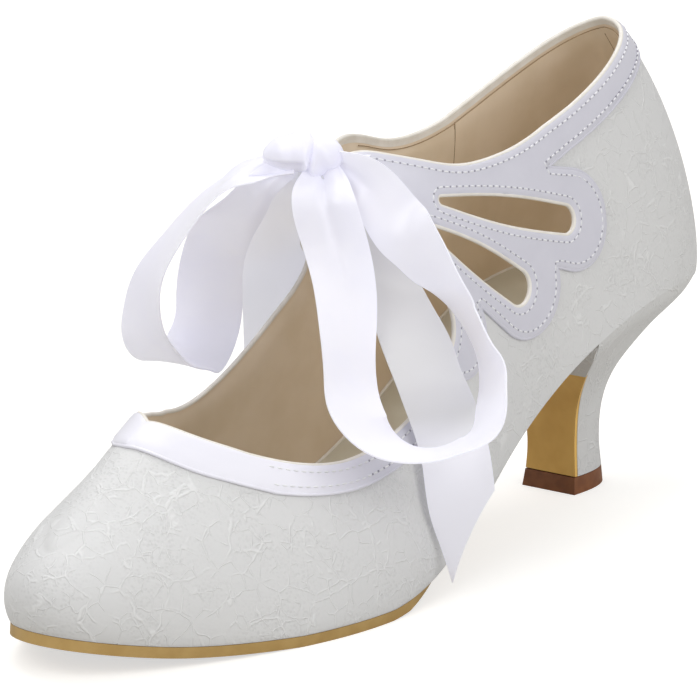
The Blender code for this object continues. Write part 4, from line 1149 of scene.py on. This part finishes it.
# The eased edges take the dark edge finish: a line along the foot, and painted shade under the upper
eased_edges(outsole, SOLE_EASE, EDGE_LINE_AND_SHADE)

tip = heel[-1].copy()
tip_centre = tip.mean(0)
tip[[0, -1], 1] += GAP + FLAP_THICK
lift_top = tip.copy()
lift_top[:, 2] = LIFT_HEIGHT
lift_low = tip_centre + (tip - tip_centre) * LIFT_FLARE
lift_low[:, 2] = 0
top_lift = add_piece("heel_top_lift", *loft(np.stack([lift_top, lift_low])), [LIFT_RUBBER], "top_lift",
                     ["top_lift"])
eased_edges(top_lift, LIFT_EASE)


def sock_rings():
    """Sections of the sock from toe to heel, dished a little between its edges."""
    turns = np.linspace(*SOCK_ENDS, SOCK_SECTIONS)
    near_x, near_t = feather(turns, 1, WALL + GAP)
    far_x, far_t = feather(turns, -1, WALL + GAP)
    share = np.linspace(0, 1, SOCK_ACROSS)[None]
    x = near_x[:, None] + (far_x - near_x)[:, None] * share
    t = near_t[:, None] + (far_t - near_t)[:, None] * share
    low = seat_height(t) + GAP / 2
    high = low + INSOLE - SOCK_DISH * (1 - (2 * share - 1) ** 2)
    top = np.stack([x, t, high], -1)
    under = np.stack([x, t, low], -1)
    return np.concatenate([top, under[:, ::-1]], 1)


sock_shape = sock_rings()
add_piece("sock", *loft(sock_shape), [SOCK], "sock", ["insole"])
sock_edge = np.concatenate([sock_shape[:, 0], sock_shape[::-1, SOCK_ACROSS - 1]])
upwards = np.tile([0.0, 0.0, 1.0], (len(sock_edge), 1))
add_piece("sock_edge", *tube(sock_edge, upwards, SOCK_BEAD, BEAD_SIDES), [PIPING], "sock")


# Ribbon bow

def ribbon(rows, sections, cut, folds):
    """Thin strip: middle line plus a share of the width across, lifted by a curl and by folds near its ends.

    The folds are rows: end of the strip, height, reach along the strip, place and width across.
    A cut end runs slantwise, its right edge the shorter.
    """
    run = np.concatenate([[0], np.cumsum(np.linalg.norm(np.diff(rows[:, :3], axis=0), axis=1))])
    share = np.linspace(-1, 1, RIBBON_ACROSS)[None]
    where = np.linspace(0, run[-1], sections)[:, None] * (1 - cut / run[-1] * (1 + share) / 2)
    lines = [spline(run, rows[:, i])(where) for i in range(7)]
    centre = np.stack(lines[:3], -1)
    along = unit(np.gradient(centre, axis=0))
    across = np.stack(lines[4:], -1)
    across = unit(across - along * (across * along).sum(-1, keepdims=True))
    face = np.cross(along, across)
    lift = CURL * (1 - share ** 2)
    for end, height, reach, place, width in folds:
        away = where if end == "start" else run[-1] - where
        lift = lift + height * np.exp(-(away / reach) ** 2) * np.exp(-((share - place) / width) ** 2)
    middle_surface = centre + across * (lines[3] * share / 2)[..., None] + face * lift[..., None]
    above = middle_surface + face * RIBBON_THICK / 2
    below = middle_surface - face * RIBBON_THICK / 2
    return np.concatenate([below, above[:, ::-1]], 1)


def route(rows, cut):
    """The middle line of a ribbon in the frame, up to its slanting cut, as points close together."""
    run = np.concatenate([[0], np.cumsum(np.linalg.norm(np.diff(rows[:, :3], axis=0), axis=1))])
    where = np.linspace(0, run[-1] - CUT_SHARE * cut, ROUTE_POINTS)
    return to_frame(np.stack([spline(run, rows[:, i])(where) for i in range(3)], -1))


def knot_rings():
    """Knot turned to face along the strap: two bulges beside a groove, the left one rolled at its front."""
    angles = np.radians(np.linspace(-180, 180, KNOT_AROUND, endpoint=False))[None]
    level = np.linspace(-KNOT_END, KNOT_END, KNOT_LEVELS)[:, None]
    size = np.sqrt(1 - level ** 2)
    groove_line = GROOVE_PLACE + GROOVE_SLANT * np.sin(angles)
    groove = 1 - GROOVE_DEPTH * np.exp(-((level - groove_line) / GROOVE_WIDTH) ** 2)
    left = smooth((LEFT_EDGE[0] - level) / LEFT_EDGE[1])
    below_top = smooth((ROLL_TOP[0] - angles) / ROLL_TOP[1])
    under = below_top * smooth((angles - ROLL_FOOT[0]) / ROLL_FOOT[1])
    rolled = 1 - ROLL_DEPTH * left * under
    right_pleats = RIGHT_PLEATS * np.cos(10.0 * level + 3.0 * angles) * (1 - left)
    left_pleats = LEFT_PLEATS * np.cos(12.0 * level + angles) * left
    shape = size * groove * rolled * (1 + right_pleats + left_pleats)
    turn = np.radians(KNOT_TURN)
    along = level * KNOT_HALF[0] * np.ones_like(angles)
    out = shape * KNOT_HALF[1] * np.cos(angles)
    up = shape * KNOT_HALF[2] * np.sin(angles)
    x = KNOT_CENTRE[0] + along * np.cos(turn) + out * np.sin(turn)
    t = KNOT_CENTRE[1] - along * np.sin(turn) + out * np.cos(turn)
    return np.stack([x, t, KNOT_CENTRE[2] + up], -1)


def bar_rings():
    """Ribbon across the ridge from strap to strap, its ends swept forwards with the straps."""
    near_girths = np.linspace(BAR_GIRTH, 1, BAR_STEPS)
    girths = np.concatenate([near_girths, near_girths[-2::-1]])
    ways = np.repeat([1, -1], [BAR_STEPS, BAR_STEPS - 1])
    sweep = BAR_SWEEP * (1 - girths) / (1 - BAR_GIRTH)
    turn = turn_at((np.linspace(*BAR_STATIONS, BAR_ACROSS)[None] + sweep[:, None]) / LENGTH)
    girth = np.broadcast_to(girths[:, None], turn.shape)
    way = np.broadcast_to(ways[:, None], turn.shape)
    place = rib(turn, way, girth)
    normal = np.where((way > 0)[..., None], normal_at(turn, 1, girth), normal_at(turn, -1, girth))
    low = place + normal * BAR_LIFT
    high = place + normal * (BAR_LIFT + RIBBON_THICK)
    return np.concatenate([low, high[:, ::-1]], 1)


CURL = 0.5
RIBBON_ACROSS = 25
ROUTE_POINTS = 60
# Slanting cut of a free end: its length along the ribbon, and the share of it that the route leaves out
TAIL_CUT = 21.0
CUT_SHARE = 0.4
# Knot: points round it, levels along it and where they end; its groove, its roll and its pleats as shares
KNOT_AROUND = 96
KNOT_LEVELS = 61
KNOT_END = 0.985
GROOVE_PLACE = 0.18
GROOVE_SLANT = 0.10
GROOVE_WIDTH = 0.07
GROOVE_DEPTH = 0.28
ROLL_DEPTH = 0.25
# Where the left bulge and the roll's upper and lower edges start, and how much room each takes to ease in
LEFT_EDGE = (0.10, 0.15)
ROLL_TOP = (-0.05, 0.25)
ROLL_FOOT = (-2.6, 0.6)
RIGHT_PLEATS = 0.06
LEFT_PLEATS = 0.03
# Crossing: steps up each side and points across
BAR_STEPS = 15
BAR_ACROSS = 12
# Where each strand comes out of the knot, as one more row before or after its route
NEAR_LOOP_ENTRY = (3.0, 141.0, 102.0, 6, 0.30, 0.30, 0.90)
NEAR_LOOP_RETURN = (3.0, 141.5, 101.2, 6, -0.77, 0.64, 0.02)
FAR_LOOP_ENTRY = (-2.0, 145.2, 101.6, 9, 0.50, 0.60, -0.62)
FAR_LOOP_RETURN = (-2.5, 146.5, 100.0, 6, 0.77, -0.64, -0.05)
NEAR_TAIL_ENTRY = (1.5, 143.6, 100.5, 5, 0.77, -0.64, 0.00)
FAR_TAIL_ENTRY = (-1.0, 145.4, 100.5, 6, 0.77, -0.64, 0.00)
# Folds: end, height, reach, place and width across
LOOP_FOLDS = (("start", 0.9, 14.0, -0.2, 0.3), ("end", 1.3, 22.0, -0.05, 0.16),
              ("end", -0.6, 26.0, -0.55, 0.25))
FAR_FOLDS = (("start", -2.0, 13.0, -0.15, 0.32), ("end", 0.7, 16.0, 0.2, 0.3))
TAIL_FOLDS = (("start", 0.6, 18.0, 0.1, 0.35),)

knot = add_piece("ribbon_knot", *loft(knot_rings()), [RIBBON_SATIN], "ribbon", ["bow_knot"])
add_piece("ribbon_band", *loft(bar_rings()), [RIBBON_SATIN], "ribbon", ["ribbon_bar"])


def add_strand(name, node, route_rows, before, after, sections, cut, folds, satin):
    """One strand of the bow from its route, with its ends tucked into the knot."""
    rows = np.array([*before, *route_rows, *after])
    strand = add_piece(name, *loft(ribbon(rows, sections, cut, folds)), [satin], "ribbon", [node])
    path = route(route_rows, cut)


# The near loop spreads to the left where its front strand leaves the knot
NEAR_SPREAD_ROWS = slice(-3, None)
NEAR_SPREAD = np.array([
    (-0.9, 0.7, 0.0, 2.1, 0.0, 0.0, 0.0), (-2.8, 2.3, -0.9, 7.2, 0.0, 0.0, 0.0),
    (-4.5, -1.4, -1.0, 5.0, 0.0, 0.0, 0.0)])
near_loop_rows = NEAR_LOOP.copy()
near_loop_rows[NEAR_SPREAD_ROWS] += NEAR_SPREAD
# The far end spreads to the right where it leaves the knot
FAR_SPREAD_ROWS = slice(1, 4)
FAR_SPREAD = np.array((2.3, -1.9, 0.0, 6.0, 0.0, 0.0, 0.0))
far_end_rows = FAR_TAIL.copy()
far_end_rows[FAR_SPREAD_ROWS] += FAR_SPREAD

add_strand("ribbon_loop_near", "bow_loop_near", near_loop_rows, [NEAR_LOOP_ENTRY], [NEAR_LOOP_RETURN],
           sections=160, cut=0.0, folds=LOOP_FOLDS, satin=RIBBON_SATIN)
add_strand("ribbon_loop_far", "bow_loop_far", FAR_LOOP, [FAR_LOOP_ENTRY], [FAR_LOOP_RETURN],
           sections=140, cut=0.0, folds=FAR_FOLDS, satin=RIBBON_SATIN)
add_strand("ribbon_end_near", "ribbon_tail_near", NEAR_TAIL, [NEAR_TAIL_ENTRY], [],
           sections=120, cut=TAIL_CUT, folds=TAIL_FOLDS, satin=NEAR_END_PAINTED_SHADE)
add_strand("ribbon_end_far", "ribbon_tail_far", far_end_rows, [FAR_TAIL_ENTRY], [],
           sections=110, cut=TAIL_CUT, folds=TAIL_FOLDS, satin=FAR_END_PAINTED_SHADE)

# Floor, light and camera

CAMERA_AZIMUTH = np.radians(40.0)
CAMERA_ELEVATION = np.radians(14.0)
CAMERA_ROLL = np.radians(-0.92)
CAMERA_DISTANCE = 1.123
CAMERA_AIM = np.array([-0.00216, 0.00061, 0.050])
CAMERA_LENS = 240.26
PICTURE = 700.0
AIM_RIGHT = 20.89
AIM_DOWN = 3.55
FLOOR_HALF = 6.0
FLOOR_GLOW = 0.62
STUDIO_GLOW = 0.50
# Lights: name, place along the camera's right, towards the camera and upwards, size, power
LIGHTS = (("key", (-0.65, 0.9, 1.1), 0.8, 6.6), ("fill", (1.0, 0.8, 0.75), 1.0, 6.5),
          ("top", (-0.2, -0.5, 1.4), 0.9, 8.8))


def add_camera():
    """Camera at the photograph's angle, a little rolled, with the aim off the middle of the picture."""
    back = np.array([np.sin(CAMERA_AZIMUTH) * np.cos(CAMERA_ELEVATION),
                     -np.cos(CAMERA_AZIMUTH) * np.cos(CAMERA_ELEVATION), np.sin(CAMERA_ELEVATION)])
    right = np.array([np.cos(CAMERA_AZIMUTH), np.sin(CAMERA_AZIMUTH), 0.0])
    up = np.cross(back, right)
    rolled_right = right * np.cos(CAMERA_ROLL) + up * np.sin(CAMERA_ROLL)
    rolled_up = up * np.cos(CAMERA_ROLL) - right * np.sin(CAMERA_ROLL)
    data = bpy.data.cameras.new("camera")
    data.lens = CAMERA_LENS
    data.shift_x = -AIM_RIGHT / PICTURE
    data.shift_y = AIM_DOWN / PICTURE
    camera = bpy.data.objects.new("camera", data)
    turn = Matrix(np.stack([rolled_right, rolled_up, back], -1).tolist()).to_4x4()
    camera.matrix_world = Matrix.Translation(Vector(CAMERA_AIM + back * CAMERA_DISTANCE)) @ turn
    bpy.context.scene.collection.objects.link(camera)
    bpy.context.scene.camera = camera
    return rolled_right, back


def add_light(name, place, size, power):
    """Square soft light that looks at the shoe."""
    data = bpy.data.lights.new(name, "AREA")
    data.size = size
    data.energy = power
    light = bpy.data.objects.new(name, data)
    light.location = Vector(place)
    light.rotation_mode = "QUATERNION"
    light.rotation_quaternion = (Vector(CAMERA_AIM) - Vector(place)).to_track_quat("-Z", "Y")
    bpy.context.scene.collection.objects.link(light)


def add_floor():
    """Plain white paper, lifted to white where the camera sees it so that only the shadows show on it."""
    material, tree, shader = finish("studio_floor_paper", Base_Color=linear("C6C4BF"), Roughness=0.9)
    seen = add_node(tree, "ShaderNodeLightPath").outputs["Is Camera Ray"]
    glow = add_node(tree, "ShaderNodeMath", {0: seen, 1: FLOOR_GLOW}, operation="MULTIPLY")
    shader.inputs["Emission Color"].default_value = linear("FFFFFF")
    tree.links.new(glow.outputs[0], shader.inputs["Emission Strength"])
    corners = [(FLOOR_HALF * x, FLOOR_HALF * y, 0) for x, y in ((-1, -1), (1, -1), (1, 1), (-1, 1))]
    mesh = bpy.data.meshes.new("floor")
    mesh.from_pydata(corners, [], [(0, 1, 2, 3)])
    mesh.materials.append(material)
    floor = bpy.data.objects.new("floor", mesh)
    bpy.context.scene.collection.objects.link(floor)


camera_right, camera_back = add_camera()
forward = np.array([camera_back[0], camera_back[1], 0.0])
above = np.array([0.0, 0.0, 1.0])
for light, (rightwards, towards, upward), size, power in LIGHTS:
    add_light(light, camera_right * rightwards + forward * towards + above * upward, size, power)
add_floor()
world = bpy.data.worlds.new("studio")
world.use_nodes = True
world.node_tree.nodes["Background"].inputs["Color"].default_value = linear("FFFFFF")
world.node_tree.nodes["Background"].inputs["Strength"].default_value = STUDIO_GLOW
bpy.context.scene.world = world
bpy.context.scene.view_settings.view_transform = "Standard"
